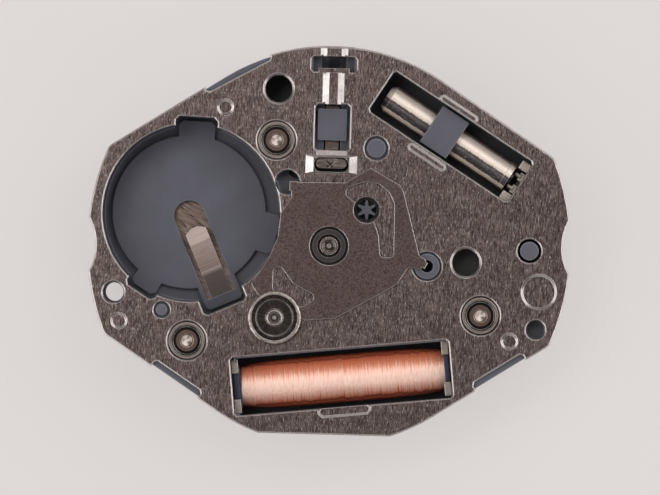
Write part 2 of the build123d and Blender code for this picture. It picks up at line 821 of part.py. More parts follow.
def yoke_face(grow, turn=0):
    reach = yoke_tip_x - yoke_x
    rise = clutch_groove_y - yoke_y()
    arm_turn = direction(0, 0, reach, rise) + turn
    arm = Pos(reach / 2, 0) * Rectangle(reach, yoke_arm_width + 2 * grow)
    tip_length = clutch_radius - clutch_groove_radius + free_gap
    tip_room = Pos(reach - tip_length / 2, 0) * Rectangle(tip_length, yoke_arm_width)
    tip = Pos(reach - tip_length / 2, 0) * Rectangle(tip_length + 2 * grow, yoke_tip_width + 2 * grow)
    flat = arm - tip_room + tip if grow == 0 else arm
    face = turned(yoke_x, yoke_y(), arm_turn) * flat
    return face + Pos(yoke_x, yoke_y()) * Circle(yoke_boss + grow)


def yoke_swing():
    """Turn of the yoke, in degrees, when the clutch makes its whole travel."""
    return math.degrees(clutch_travel / (yoke_tip_x - yoke_x))


def yoke_room_face():
    face = yoke_face(free_gap)
    for share in (0.5, 1.0):
        face += yoke_face(free_gap, -yoke_swing() * share)
    return face


def stop_lever_face(grow):
    tip_distance = tip_radius(second_teeth, second_module) + stop_lever_gap + stop_lever_width / 2
    tip_x, tip_y = polar(tip_distance, stop_lever_tip_turn)
    points = [(tip_x, tip_y), (stop_lever_x, stop_lever_y), (stop_lever_tail_x, stop_lever_tail_y)]
    face = strip_face(points, stop_lever_width + 2 * grow)
    return face + Pos(stop_lever_x, stop_lever_y) * Circle(stop_lever_boss + grow)


def stop_lever_room_face():
    """Room for the lever's swing, as wide as its travel and a clearance."""
    return stop_lever_face(free_gap + stop_lever_gap)


def board_face(grow):
    face = outline_of_shares(board_shares, board_reach, 0)
    return offset(face, amount=grow, kind=Kind.INTERSECTION) if grow else face


def make_circuit_board():
    face = board_face(0)
    face -= Pos(*pillar_places[2]) * Circle(pillar_shank + free_gap)
    for x, y, radius in plastic_pins[2:]:
        face -= Pos(x, y) * Circle(radius + seat_gap)
    face -= crystal_at(crystal_window_along, crystal_window_across) * Rectangle(
        crystal_window_length - crystal_rim_length, crystal_window_width + 2 * free_gap)
    return plate(face, board_low, board_low + board_thick)


def make_chip():
    half = chip_side / 2
    low = board_low - chip_thick
    body = block((chip_x - half, chip_y - half, low), (chip_x + half, chip_y + half, board_low))
    return chamfer(body.edges().group_by(Axis.Z)[0], rim_chamfer)


def raised_bar(length, width, height, end_slope, side_slope, corner_share):
    """A pressed rib with sloping ends and sides, its corners cut off by a share of its width."""
    low = Rectangle(length, width)
    high = Rectangle(length - 2 * end_slope, width - 2 * side_slope)
    if corner_share:
        low = chamfer(low.vertices(), width * corner_share)
        high = chamfer(high.vertices(), (width - 2 * side_slope) * corner_share)
    return loft([low, Pos(0, 0, height) * high])


def stem_ribs():
    """Width, low end and high end of the two ribs along the stem."""
    half = stem_window_width / 2 + stem_rib_gap
    low = block_window_y + block_window_length / 2
    return [(stem_rib_width, low, stem_window_y - half),
            (edge_rib_width, stem_window_y + half, side_radius - edge_rib_inset)]


def edge_ribs():
    """Place, length and width of the raised tongues beside the windows of the crystal and the coil."""
    return [(crystal_at(crystal_rib_along, crystal_rib_across), crystal_rib_length, crystal_rib_width),
            (crystal_at(crystal_rib_along, -crystal_rib_across), crystal_rib_length, crystal_rib_width),
            (coil_at(coil_rib_along, -coil_rib_across), coil_rib_length, coil_rib_width)]


def rimmed_cut(face):
    """A window through the cover, with a chamfered upper rim."""
    rim = extrude(Pos(0, 0, cover_top - rim_chamfer) * face, amount=2 * rim_chamfer, dir=(0, 0, 1), taper=-45)
    return plate(face, plastic_top - overrun, cover_top + overrun) + rim


def make_cover_plate():
    top = cover_top + overrun
    below = plastic_top - overrun
    outline = body_outline(0)
    for turn, along, length in cover_notches:
        x, y = polar(side_radius, turn)
        notch = cornered_face(length, 2 * notch_depth, notch_corner)
        outline -= turned(x, y, turn - 90) * Pos(along, 0) * notch
    body = plate(outline, plastic_top, cover_top)
    body = chamfer(body.edges().group_by(Axis.Z)[-1], rim_chamfer)
    for (x, y), radius in zip(boss_shares, boss_radii):
        boss = taper(radius, radius - boss_bevel, cover_top, cover_top + boss_height)
        body += Pos(x * end_radius, y * side_radius) * boss
    for width, low_y, high_y in stem_ribs():
        rib = raised_bar(width, high_y - low_y, rib_height, stem_rib_slope, 0, 0)
        body += Pos(0, (low_y + high_y) / 2, cover_top) * rib
    for spot, length, width in edge_ribs():
        rib = raised_bar(length, width, rib_height, rib_slope, rib_slope, rib_corner_share)
        body += Pos(0, 0, cover_top) * spot * rib
    hump = raised_bar(hump_length, hump_width, hump_height, hump_end_slope, hump_side_slope, 0)
    body += Pos(0, hump_y, cover_top) * hump
    body -= plate(Pos(0, hump_y) * SlotOverall(hump_slot_length, hump_slot_width), below, top)

    for face in (Pos(well_x, well_y) * Circle(well_radius), *well_bays(0)):
        body -= rimmed_cut(face)
    body -= rimmed_cut(coil_at(coil_window_along, coil_window_across)
                       * cornered_face(coil_window_length, coil_window_width, window_corner))
    body -= rimmed_cut(crystal_at(crystal_window_along, crystal_window_across)
                       * cornered_face(crystal_window_length, crystal_window_width, window_corner))
    body -= rimmed_cut(Pos(0, stem_window_y)
                       * cornered_face(stem_window_length, stem_window_width, window_corner))
    body -= rimmed_cut(Pos(0, block_window_y)
                       * cornered_face(block_window_width, block_window_length, window_corner))

    for x, y in pillar_places:
        body -= sunk_hole(pillar_hole, below, cover_top, x, y)
    for x, y, radius in plastic_pins:
        body -= sunk_hole(radius + pin_hole_gap, below, cover_top, x, y)
    body -= sunk_hole(tube_pin_hole, below, cover_top, tube_pin_x, tube_pin_y)
    body -= sunk_hole(tab_hole_radius, below, cover_top, tab_hole_x, tab_hole_y)
    for x, y in dark_hole_shares:
        body -= sunk_hole(dark_hole_radius, below, cover_top, x * end_radius, y * side_radius, dark_hole_rim)
    body -= sunk_hole(dial_foot_mouth_radius, below, cover_top, dial_foot_x, dial_foot_y)
    body -= sunk_hole(dial_foot_radius, below, cover_top, blind_foot_x, blind_foot_y)
    body -= column(hub_hole, below, top)
    body -= column(star_hole, below, top, fifth_x, fifth_y)
    body -= column(headed_pin_shank + press_gap, below, top, headed_pin_x, headed_pin_y)

    # A lip bent down into the stem window, and a slope down to the window of the block
    edge_y = stem_window_y - stem_window_width / 2
    body += block((-lip_half, edge_y, plastic_top - lip_drop), (lip_half, edge_y + lip_thick, cover_top))
    body += block((-lip_half, edge_y - lip_thick, plastic_top), (lip_half, edge_y + lip_thick, cover_top))
    edge_y = block_window_y - block_window_length / 2
    slope = make_face(Plane.YZ * Polyline((edge_y - block_lip_width, cover_top),
                                          (edge_y, cover_top - block_lip_drop),
                                          (edge_y + block_lip_width, cover_top), close=True))
    body -= extrude(slope, amount=lip_half, both=True)
    return body


def make_train_cover():
    face = train_cover_face() + Pos(headed_pin_x, headed_pin_y) * Circle(headed_pin_land)
    face -= Circle(hub_hole)
    face -= outline_of_shares(paisley_shares, train_cover_reach, cutout_round)
    face -= Pos(fifth_x, fifth_y) * Circle(star_hole)
    face -= outline_of_shares(triangle_shares, train_cover_reach, cutout_round)
    face -= Pos(headed_pin_x, headed_pin_y) * Circle(headed_pin_shank + press_gap)
    body = plate(face, cover_top, train_cover_top)
    for x, y, length, turn in bent_tabs:
        tab = turned(x, y, turn) * Rectangle(length, tab_thick)
        body += plate(tab, train_cover_top - tab_drop, train_cover_top)
    return body


def make_pillar(x, y):
    body = column(pillar_shank, 0, pillar_head_low)
    body += column(pillar_head_radius, pillar_head_low, pillar_head_top)
    dish_low = pillar_head_top - pillar_dish_depth
    body -= taper(pillar_dish_radius - pillar_dish_depth, pillar_dish_radius, dish_low, pillar_head_top)
    body -= taper(0, pillar_pip_radius, dish_low - pillar_pip_depth, dish_low)
    return Pos(x, y) * body


def make_headed_pin():
    body = column(headed_pin_shank, headed_pin_low, train_cover_top)
    body += column(headed_pin_head, train_cover_top, headed_pin_head_top)
    body = chamfer(body.edges().group_by(Axis.Z)[-1], rim_chamfer)
    dish_low = headed_pin_head_top - headed_pin_dish_depth
    body -= column(headed_pin_dish, dish_low, headed_pin_head_top + overrun)
    boss = column(headed_pin_boss, dish_low, headed_pin_boss_top)
    body += chamfer(boss.edges().group_by(Axis.Z)[-1], rim_chamfer)
    return Pos(headed_pin_x, headed_pin_y) * body


def make_train_bridge():
    body = plate(train_bridge_face(bridge_inset), bridge_low, plastic_top)
    body += column(hub_collar_radius, plastic_top, hub_collar_high)
    below = bridge_low - overrun
    top = hub_collar_high + overrun
    body -= column(bearing_radius + press_gap, below, top)
    body -= column(hub_collar_bore, bearing_top - bearing_radius / 2, top)
    body -= column(tip_radius(pinion_leaves, second_module) + running_gap, below, top, fifth_x, fifth_y)
    body -= column(star_sink_radius, star_sink_low, top, fifth_x, fifth_y)
    for x, y in ((third_x, third_y), (rotor_x, rotor_y)):
        body -= column(arbor_radius + running_gap, below, bridge_low + pivot_depth + free_gap, x, y)
    body -= column(headed_pin_shank + press_gap, below, top, headed_pin_x, headed_pin_y)
    body -= column(tab_hole_radius, below, top, tab_hole_x, tab_hole_y)
    body -= column(tube_pin_radius + seat_gap, below, top, tube_pin_x, tube_pin_y)
    return body


def make_centre_bearing():
    body = column(bearing_radius, bearing_low, bearing_top)
    body = chamfer(body.edges().group_by(Axis.Z)[-1], rim_chamfer)
    body -= taper(bearing_bore, oil_cup_radius, bearing_top - oil_cup_depth, bearing_top)
    return body - column(bearing_bore, bearing_low - overrun, bearing_top + overrun)


def make_centre_bridge():
    low = centre_bridge_low
    high = low + centre_bridge_thick
    hole = column(tube_radius + press_gap, low - overrun, high + overrun)
    return plate(centre_bridge_face(0), low, high) - hole


def make_centre_tube():
    high = centre_bridge_low + centre_bridge_thick
    return column(tube_radius, tube_end, high) - column(tube_bore, tube_end - overrun, high + overrun)


def make_battery_contact():
    """A bent spring leaf: its foot lies in the slot and its crest stands above the shelf."""
    low = dial_plate_thick
    bend = low + leaf_thick
    crest = bend + leaf_crest_rise
    under = [(leaf_foot_from, low), (leaf_bend_at, low), (leaf_crest_at, crest - leaf_thick),
             (leaf_tip_at, crest - leaf_thick - leaf_tip_drop)]
    over = [(along, level + leaf_thick) for along, level in reversed(under)]
    side = make_face(Plane.XZ * Polyline(*under, *over, close=True))
    leaf = extrude(side, amount=leaf_width / 2, both=True)
    tip_middle = leaf_tip_at + leaf_tip_slant
    for across in (1, -1):
        side_y = across * leaf_width
        corner = Polyline((leaf_tip_at - press_gap, across * leaf_tip_half), (tip_middle, side_y),
                          (leaf_tip_at - leaf_tip_slant, side_y), close=True)
        leaf -= plate(make_face(corner), 0, plastic_top)
    return turned(slot_x, slot_y, slot_turn) * leaf


def along_axis(solid, level):
    """Lay a solid made along Z down along +X, at a level."""
    return Pos(0, 0, level) * Rot(0, 90, 0) * solid


def make_crystal_can():
    can = Cylinder(crystal_radius, crystal_length)
    can = chamfer(can.edges().group_by(Axis.Z)[0], crystal_end_bevel)
    rim = Cylinder(crystal_rim_radius, crystal_rim_length)
    can += Pos(0, 0, (crystal_length - crystal_rim_length) / 2) * rim
    return crystal_at(0) * along_axis(can, crystal_level)


def make_crystal_seal():
    seal = Pos(0, 0, crystal_length / 2 + seal_length / 2) * Cylinder(seal_radius, seal_length)
    return crystal_at(0) * along_axis(seal, crystal_level)


def make_crystal_leads():
    leads = []
    start = crystal_length / 2 + seal_length
    for side in (1, -1):
        wire = crystal_at(0, side * lead_spread) * along_axis(
            Pos(0, 0, start + lead_length / 2) * Cylinder(lead_radius, lead_length), crystal_level)
        end = start + lead_length
        pad = block((end - lead_radius, -lead_pad_width / 2, crystal_level - lead_radius),
                    (end + lead_pad_length, lead_pad_width / 2, crystal_level - lead_radius + lead_pad_thick))
        leads.append(wire + crystal_at(0, side * lead_spread) * pad)
    return leads


def make_stator():
    face = stator_face(0)
    face -= Pos(rotor_x, rotor_y) * Circle(stator_hole)
    for turn in (60, 240):
        x, y = polar(stator_hole, turn)
        face -= Pos(rotor_x + x, rotor_y + y) * Circle(stator_notch)
    face -= Pos(third_x, third_y) * Circle(arbor_radius + free_gap)
    face -= Circle(cannon_top_radius + free_gap)
    return plate(face, train_floor, train_floor + stator_thick)


def make_coil_core():
    flange_end = coil_length / 2 + coil_flange_thick
    face = Rectangle(2 * flange_end, coil_core_width)
    for side in (1, -1):
        face += Pos(side * (flange_end + coil_ear_length / 2), 0) * Rectangle(coil_ear_length, coil_ear_width)
        pad = coil_pad_end - flange_end
        face += Pos(side * (flange_end + pad / 2), 0) * Rectangle(pad, coil_pad_width)
    return plate(coil_at(0) * face, coil_core_low(), coil_core_low() + coil_core_thick)


def coil_level():
    return coil_core_low() + coil_core_thick / 2


def make_coil_flanges():
    hole = Rectangle(coil_core_thick + 2 * press_gap, coil_core_width + 2 * press_gap)
    face = cornered_face(coil_flange_height, coil_flange_width, coil_flange_corner) - hole
    flange = extrude(face, coil_flange_thick)
    places = (coil_length / 2, -coil_length / 2 - coil_flange_thick)
    return [coil_at(0) * along_axis(Pos(0, 0, along) * flange, coil_level()) for along in places]


def biarc(start, start_tangent, end, end_tangent):
    """Two tangent arcs from start to end that keep both tangents."""
    chord = end - start
    both = start_tangent + end_tangent
    spread = 2 * (1 - start_tangent.dot(end_tangent))
    along = chord.dot(both)
    reach = (math.sqrt(along * along + spread * chord.dot(chord)) - along) / spread
    start_handle = start + start_tangent * reach
    end_handle = end - end_tangent * reach
    middle = (start_handle + end_handle) / 2
    first = TangentArc(start, middle, tangent=start_tangent)
    return [first, TangentArc(middle, end, tangent=(end_handle - start_handle).normalized())]


def winding_point(turns):
    """A point of the outer layer's centre line, and its tangent, after a number of turns."""
    radius = coil_radius - wire_radius
    span = coil_length - 2 * (wire_margin + wire_radius)
    pitch = span / wire_turns
    angle = 2 * math.pi * turns
    point = Vector(radius * math.cos(angle), radius * math.sin(angle), turns * pitch - span / 2)
    tangent = Vector(-math.sin(angle), math.cos(angle), pitch / (2 * math.pi * radius)).normalized()
    return point, tangent


def make_wire():
    """The outer layer of the coil: one wire from end to end."""
    knots = [winding_point(half / 2) for half in range(2 * wire_turns + 1)]
    first, first_tangent = knots[0]
    last, last_tangent = knots[-1]
    path = [Line(first - first_tangent * 2 * wire_radius, first)]
    for (start, start_tangent), (end, end_tangent) in zip(knots, knots[1:]):
        path += biarc(start, start_tangent, end, end_tangent)
    path.append(Line(last, last + last_tangent * 2 * wire_radius))
    section = Plane(path[0] @ 0, z_dir=first_tangent) * RegularPolygon(wire_radius, wire_sides)
    steps = 24
    points = [winding_point(step / steps)[0] for step in range(wire_turns * steps + 1)]
    gap = min((far - near).length for near, far in zip(points, points[steps - 2:])) - 2 * wire_radius
    print("least gap between turns of the wire", round(gap, 3))
    return sweep(section, path=Wire(path))


def make_coil_winding():
    core = Cylinder(coil_radius - 2 * wire_radius - wire_to_core, coil_length)
    core = chamfer(core.edges().filter_by(GeomType.CIRCLE), coil_core_round)
    core -= Box(coil_core_thick + 2 * press_gap, coil_core_width + 2 * press_gap, coil_length + overrun)
    return [coil_at(0) * along_axis(piece, coil_level()) for piece in (core, make_wire())]


def make_rotor_magnet():
    ring = column(magnet_radius, magnet_low, magnet_high) - column(magnet_bore, 0, plastic_top)
    return Pos(rotor_x, rotor_y) * ring


def make_rotor_pinion():
    high = fifth_wheel_low + wheel_thick + pinion_overlap
    low = fifth_wheel_low - pinion_overlap
    body = column(arbor_radius, magnet_low - pivot_depth / 2, bridge_low + pivot_depth)
    body += column(magnet_bore - press_gap, magnet_low, magnet_high)
    body += plate(pinion_face(pinion_leaves, rotor_module, rotor_phase), low, high)
    return Pos(rotor_x, rotor_y) * body


def wheel_with_pinion(wheel, wheel_low, pinion, pinion_low, pinion_high):
    return plate(wheel, wheel_low, wheel_low + wheel_thick) + plate(pinion, pinion_low, pinion_high)


def make_fifth_wheel():
    wheel = wheel_face(fifth_teeth, rotor_module, fifth_wheel_phase)
    star = pinion_face(pinion_leaves, second_module, star_phase)
    body = wheel_with_pinion(wheel, fifth_wheel_low, star, second_wheel_low - pinion_overlap, star_top)
    body += column(arbor_radius, train_floor - pivot_depth, second_wheel_low)
    return Pos(fifth_x, fifth_y) * body


def make_second_wheel():
    wheel = wheel_face(second_teeth, second_module, second_wheel_phase)
    wheel -= spoke_openings(second_teeth, second_module)
    pinion = pinion_face(pinion_leaves, third_module, second_pinion_phase)
    low = third_wheel_low - pinion_overlap
    body = wheel_with_pinion(wheel, second_wheel_low, pinion, low, second_wheel_low)
    body += column(wheel_hub_radius, second_wheel_low, second_wheel_low + 2 * wheel_thick)
    return body - column(second_arbor_radius + press_gap, 0, plastic_top)


def make_second_arbor():
    """The arbor, with a tapered neck above the seat of the second hand."""
    seat_top = second_arbor_end + second_seat_length
    neck_top = seat_top + second_taper_length
    body = column(second_seat_radius, second_arbor_end, seat_top)
    body += taper(second_seat_radius, second_arbor_radius, seat_top, neck_top)
    return body + column(second_arbor_radius, neck_top, bearing_top - oil_cup_depth / 2)


def make_third_wheel():
    wheel = wheel_face(third_teeth, third_module, third_wheel_phase)
    wheel -= spoke_openings(third_teeth, third_module, 180 / spoke_count)
    pinion = pinion_face(pinion_leaves, centre_module, third_pinion_phase)
    low = centre_wheel_low - pinion_overlap
    high = centre_wheel_low + wheel_thick + pinion_overlap
    body = wheel_with_pinion(wheel, third_wheel_low, pinion, low, high)
    body += column(arbor_radius, train_floor - pivot_depth, bridge_low + pivot_depth)
    return Pos(third_x, third_y) * body


def make_centre_wheel():
    wheel = wheel_face(centre_teeth, centre_module, centre_wheel_phase)
    wheel -= spoke_openings(centre_teeth, centre_module)
    body = plate(wheel, centre_wheel_low, centre_wheel_low + wheel_thick)
    body += column(centre_hub_radius, centre_hub_low, cannon_top)
    return body - column(cannon_top_radius + running_gap, 0, plastic_top)


def make_cannon_pinion():
    step = cannon_end + cannon_seat_length
    body = column(cannon_seat_radius, cannon_end, step)
    body += taper(cannon_body_radius, cannon_top_radius, step, cannon_leaf_low)
    body += column(cannon_top_radius, cannon_leaf_low, cannon_top)
    body += plate(pinion_face(cannon_leaves, cannon_module, 0), cannon_leaf_low, cannon_leaf_high)
    return body - column(cannon_bore, cannon_end - overrun, cannon_top + overrun)


def make_minute_wheel():
    wheel = wheel_face(minute_teeth, cannon_module, minute_wheel_phase)
    wheel -= spoke_openings(minute_teeth, cannon_module)
    pinion = pinion_face(minute_leaves, hour_module, minute_pinion_phase)
    body = wheel_with_pinion(wheel, minute_wheel_low, pinion, minute_pinion_low, minute_wheel_low)
    body -= column(post_radius + running_gap, 0, plastic_top)
    return Pos(minute_x, minute_y) * body


def make_hour_wheel():
    wheel = wheel_face(hour_teeth, hour_module, hour_wheel_phase)
    body = plate(wheel, hour_wheel_low, hour_wheel_low + wheel_thick)
    body += column(hour_tube_radius, hour_end, 0) + column(hour_shoulder_radius, 0, hour_wheel_low)
    return body - column(hour_bore, hour_end - overrun, plastic_top)


def make_setting_wheel():
    wheel = wheel_face(setting_teeth, cannon_module, setting_wheel_phase)
    body = plate(wheel, setting_wheel_low, setting_wheel_high)
    body -= column(post_radius + running_gap, 0, plastic_top)
    return Pos(0, setting_wheel_y) * body


def minute_post_top():
    return (motion_roof + train_floor) / 2


def make_wheel_posts():
    minute_post = column(post_radius, dial_plate_thick, minute_post_top(), minute_x, minute_y)
    collar = column(post_collar, dial_plate_thick, setting_wheel_low - running_gap, 0, setting_wheel_y)
    setting_post = collar + column(post_radius, dial_plate_thick, setting_wheel_high, 0, setting_wheel_y)
    return [minute_post, setting_post]


def make_lever_posts():
    yoke_post = column(post_radius, train_floor, plastic_top, yoke_x, yoke_y())
    stop_post = column(post_radius, stop_post_low(), plastic_top, stop_lever_x, stop_lever_y)
    return [yoke_post, stop_post]


def make_clutch_wheel():
    """A turned sleeve on the stem axis, with face teeth towards the hand axis."""
    length = clutch_high_y - clutch_low_y - clutch_tooth_depth
    start = clutch_low_y + clutch_tooth_depth
    body = Pos(0, 0, start) * Cylinder(clutch_radius, length, align=ground)
    teeth = Pos(0, 0, clutch_low_y) * (Cylinder(clutch_radius, clutch_tooth_depth, align=ground)
                                       - Cylinder(clutch_ring_inner, clutch_tooth_depth, align=ground))
    gap = math.pi * clutch_radius / clutch_teeth
    for place in PolarLocations(clutch_radius, clutch_teeth):
        teeth -= Pos(0, 0, clutch_low_y) * place * Box(clutch_radius, gap, 2 * clutch_tooth_depth)
    body += teeth
    groove = Pos(0, 0, clutch_groove_y) * (Cylinder(clutch_radius + overrun, clutch_groove_width)
                                           - Cylinder(clutch_groove_radius, clutch_groove_width))
    body -= groove
    body -= Pos(0, 0, clutch_low_y) * Box(2 * clutch_bore, 2 * clutch_bore, 4 * length)
    return Pos(0, 0, stem_level) * Rot(-90, 0, 0) * body


def make_yoke():
    low = stem_level - yoke_thick / 2
    hole = column(post_radius + running_gap, 0, plastic_top, yoke_x, yoke_y())
    return plate(yoke_face(0), low, low + yoke_thick) - hole


def make_stop_lever():
    hole = column(post_radius + running_gap, 0, plastic_top, stop_lever_x, stop_lever_y)
    return plate(stop_lever_face(0), second_wheel_low, second_wheel_low + wheel_thick) - hole


def make_setting_lever():
    """A rocker: pressing the marked head lifts the nose out of the stem's groove."""
    high = lever_low + lever_thick
    head_half = lever_head_width / 2
    body = block((-lever_half, lever_head_y - head_half, lever_low), (lever_half, lever_nose_y, high))
    head = Pos(0, lever_head_y) * SlotOverall(2 * lever_head_half, lever_head_width)
    body += plate(head, lever_low, lever_head_top)
    nose_from = lever_nose_y - lever_nose_length
    body += block((-lever_half, nose_from, lever_nose_low), (lever_half, lever_nose_y, high))
    pin = Cylinder(lever_pin_radius, 2 * lever_pin_reach)
    body += Pos(0, lever_pivot_y, lever_low + lever_thick / 2) * Rot(0, 90, 0) * pin
    for turn in (45, -45):
        mark = turned(0, lever_head_y, turn) * Rectangle(lever_mark_size, lever_mark_width)
        body -= plate(mark, lever_head_top - lever_mark_depth, lever_head_top + overrun)
    return body


# Phases: each wheel starts in mesh with the one before it
star_phase = 91.6
line = direction(fifth_x, fifth_y, 0, 0)
second_wheel_phase = meshed_phase(pinion_leaves, star_phase, line, second_teeth)
fifth_wheel_phase = 0
line = direction(fifth_x, fifth_y, rotor_x, rotor_y)
rotor_phase = meshed_phase(fifth_teeth, fifth_wheel_phase, line, pinion_leaves)
second_pinion_phase = 0
third_wheel_phase = meshed_phase(pinion_leaves, second_pinion_phase, third_turn, third_teeth)
third_pinion_phase = 0
line = direction(third_x, third_y, 0, 0)
centre_wheel_phase = meshed_phase(pinion_leaves, third_pinion_phase, line, centre_teeth)
line = direction(0, 0, minute_x, minute_y)
minute_wheel_phase = meshed_phase(cannon_leaves, 0, line, minute_teeth)
minute_pinion_phase = 0
line = direction(minute_x, minute_y, 0, 0)
hour_wheel_phase = meshed_phase(minute_leaves, minute_pinion_phase, line, hour_teeth)
line = direction(minute_x, minute_y, 0, setting_wheel_y)
setting_wheel_phase = meshed_phase(minute_teeth, minute_wheel_phase, line, setting_teeth)

pieces = {
    "dial_side_plate": make_dial_side_plate(),
    "main_plate": make_main_plate(),
    "cover_plate": make_cover_plate(),
    "train_cover": make_train_cover(),
    "pillars": [make_pillar(x, y) for x, y in pillar_places],
    "headed_pin": make_headed_pin(),
    "train_bridge": make_train_bridge(),
    "centre_bearing": make_centre_bearing(),
    "centre_bridge": make_centre_bridge(),
    "centre_tube": make_centre_tube(),
    "battery_contact": make_battery_contact(),
    "crystal_can": make_crystal_can(),
    "crystal_seal": make_crystal_seal(),
    "crystal_leads": make_crystal_leads(),
    "circuit_board": make_circuit_board(),
    "circuit_chip": make_chip(),
    "stator": make_stator(),
    "coil_core": make_coil_core(),
    "coil_flanges": make_coil_flanges(),
    "coil_winding": make_coil_winding(),
    "wheel_posts": make_wheel_posts(),
    "lever_posts": make_lever_posts(),
    "rotor_magnet": make_rotor_magnet(),
    "rotor_pinion": make_rotor_pinion(),
    "fifth_wheel": make_fifth_wheel(),
    "second_wheel": make_second_wheel(),
    "second_arbor": make_second_arbor(),
    "third_wheel": make_third_wheel(),
    "centre_wheel": make_centre_wheel(),
    "cannon_pinion": make_cannon_pinion(),
    "minute_wheel": make_minute_wheel(),
    "hour_wheel": make_hour_wheel(),
    "setting_wheel": make_setting_wheel(),
    "clutch_wheel": make_clutch_wheel(),
    "yoke": make_yoke(),
    "stop_lever": make_stop_lever(),
    "setting_lever": make_setting_lever(),
}

for name, shape in pieces.items():
    solid = Compound(children=shape) if isinstance(shape, list) else shape
    export_step(solid, f"parts/{name}.step")
    print(name, round(solid.volume, 4))
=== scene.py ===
import bpy
import bmesh
import math
from mathutils import Matrix, Vector


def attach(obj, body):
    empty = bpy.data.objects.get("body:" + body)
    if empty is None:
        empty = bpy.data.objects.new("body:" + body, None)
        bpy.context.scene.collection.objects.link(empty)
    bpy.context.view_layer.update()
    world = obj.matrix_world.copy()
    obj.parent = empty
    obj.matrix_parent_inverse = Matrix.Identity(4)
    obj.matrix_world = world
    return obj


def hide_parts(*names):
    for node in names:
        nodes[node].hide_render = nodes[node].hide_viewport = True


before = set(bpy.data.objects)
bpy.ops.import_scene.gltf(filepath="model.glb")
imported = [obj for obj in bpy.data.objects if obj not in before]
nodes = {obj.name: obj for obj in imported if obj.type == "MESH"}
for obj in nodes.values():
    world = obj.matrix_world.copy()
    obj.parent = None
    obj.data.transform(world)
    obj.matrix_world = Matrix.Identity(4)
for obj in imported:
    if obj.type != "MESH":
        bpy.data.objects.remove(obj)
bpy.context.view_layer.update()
mm = 0.001   # the frame is in metres, the sizes below are in millimetres
print("frame loaded:", len(nodes), "nodes")

# small helpers


def tone(red, green, blue):
    # screen values 0 to 255, turned into the shader's linear values
    values = []
    for part in (red, green, blue):
        share = part / 255
        values.append(share / 12.92 if share <= 0.04045 else ((share + 0.055) / 1.055) ** 2.4)
    return (*values, 1)


def deselectAll():
    if bpy.context.object and bpy.context.object.mode != "OBJECT":
        bpy.ops.object.mode_set(mode="OBJECT")
    bpy.ops.object.select_all(action="DESELECT")


def addNode(tree, kind, **settings):
    node = tree.nodes.new(kind)
    for key, value in settings.items():
        if key in node.inputs:
            node.inputs[key].default_value = value
        else:
            setattr(node, key, value)
    return node


def calc(tree, operation, first, second=None):
    node = addNode(tree, "ShaderNodeMath", operation=operation)
    for place, value in enumerate((first, second)):
        if value is None:
            continue
        if isinstance(value, (int, float)):
            node.inputs[place].default_value = value
        else:
            tree.links.new(value, node.inputs[place])
    return node.outputs[0]


def spread(tree, value, low, high, fromLow=0.3, fromHigh=0.7):
    # a noise lies mostly between 0.3 and 0.7, so that is the range taken where none is given
    node = addNode(tree, "ShaderNodeMapRange")
    for label, number in (("From Min", fromLow), ("From Max", fromHigh), ("To Min", low), ("To Max", high)):
        node.inputs[label].default_value = number
    tree.links.new(value, node.inputs["Value"])
    return node.outputs[0]


def placeRamp(tree, value, stops, low, high):
    # colours or shares by a value, each stop is the value and what it gives
    node = addNode(tree, "ShaderNodeValToRGB")
    tree.links.new(spread(tree, value, 0, 1, low, high), node.inputs["Fac"])
    ramp = node.color_ramp
    while len(ramp.elements) < len(stops):
        ramp.elements.new(0.5)
    for element, (number, values) in zip(ramp.elements, stops):
        element.position = (number - low) / (high - low)
        element.color = tone(*values) if isinstance(values, tuple) else (values, values, values, 1)
    return node.outputs["Color"]


def objectPlace(tree):
    return addNode(tree, "ShaderNodeTexCoord").outputs["Object"]


def split(tree, vector):
    node = addNode(tree, "ShaderNodeSeparateXYZ")
    tree.links.new(vector, node.inputs[0])
    return node.outputs


def localPlace(tree, middle, turn):
    # place on the object, counted from a point of its own and turned
    node = addNode(tree, "ShaderNodeMapping", vector_type="TEXTURE")
    node.inputs["Location"].default_value = [value * mm for value in middle]
    node.inputs["Rotation"].default_value = (0, 0, math.radians(turn))
    tree.links.new(objectPlace(tree), node.inputs["Vector"])
    return split(tree, node.outputs[0])


def joinVectors(tree, operation, first, second=None):
    node = addNode(tree, "ShaderNodeVectorMath", operation=operation)
    tree.links.new(first, node.inputs[0])
    if second is not None:
        tree.links.new(second, node.inputs[1])
    return node.outputs["Value" if operation in ("DISTANCE", "DOT_PRODUCT") else "Vector"]


def addNoise(tree, place, **settings):
    # along one value or all over the piece
    node = addNode(tree, "ShaderNodeTexNoise", **settings)
    tree.links.new(place, node.inputs["W" if "noise_dimensions" in settings else "Vector"])
    return node.outputs["Fac"]


# node groups that several finishes share


def startGroup(name, inputs, outputs):
    tree = bpy.data.node_groups.new(name, "ShaderNodeTree")
    for label, kind, value in inputs:
        socket = tree.interface.new_socket(name=label, in_out="INPUT", socket_type=f"NodeSocket{kind}")
        socket.default_value = value
    for label, kind in outputs:
        tree.interface.new_socket(name=label, in_out="OUTPUT", socket_type=f"NodeSocket{kind}")
    return tree, tree.nodes.new("NodeGroupInput").outputs, tree.nodes.new("NodeGroupOutput").inputs


def fillOutputs(tree, end, **values):
    for label, value in values.items():
        tree.links.new(value, end[label])


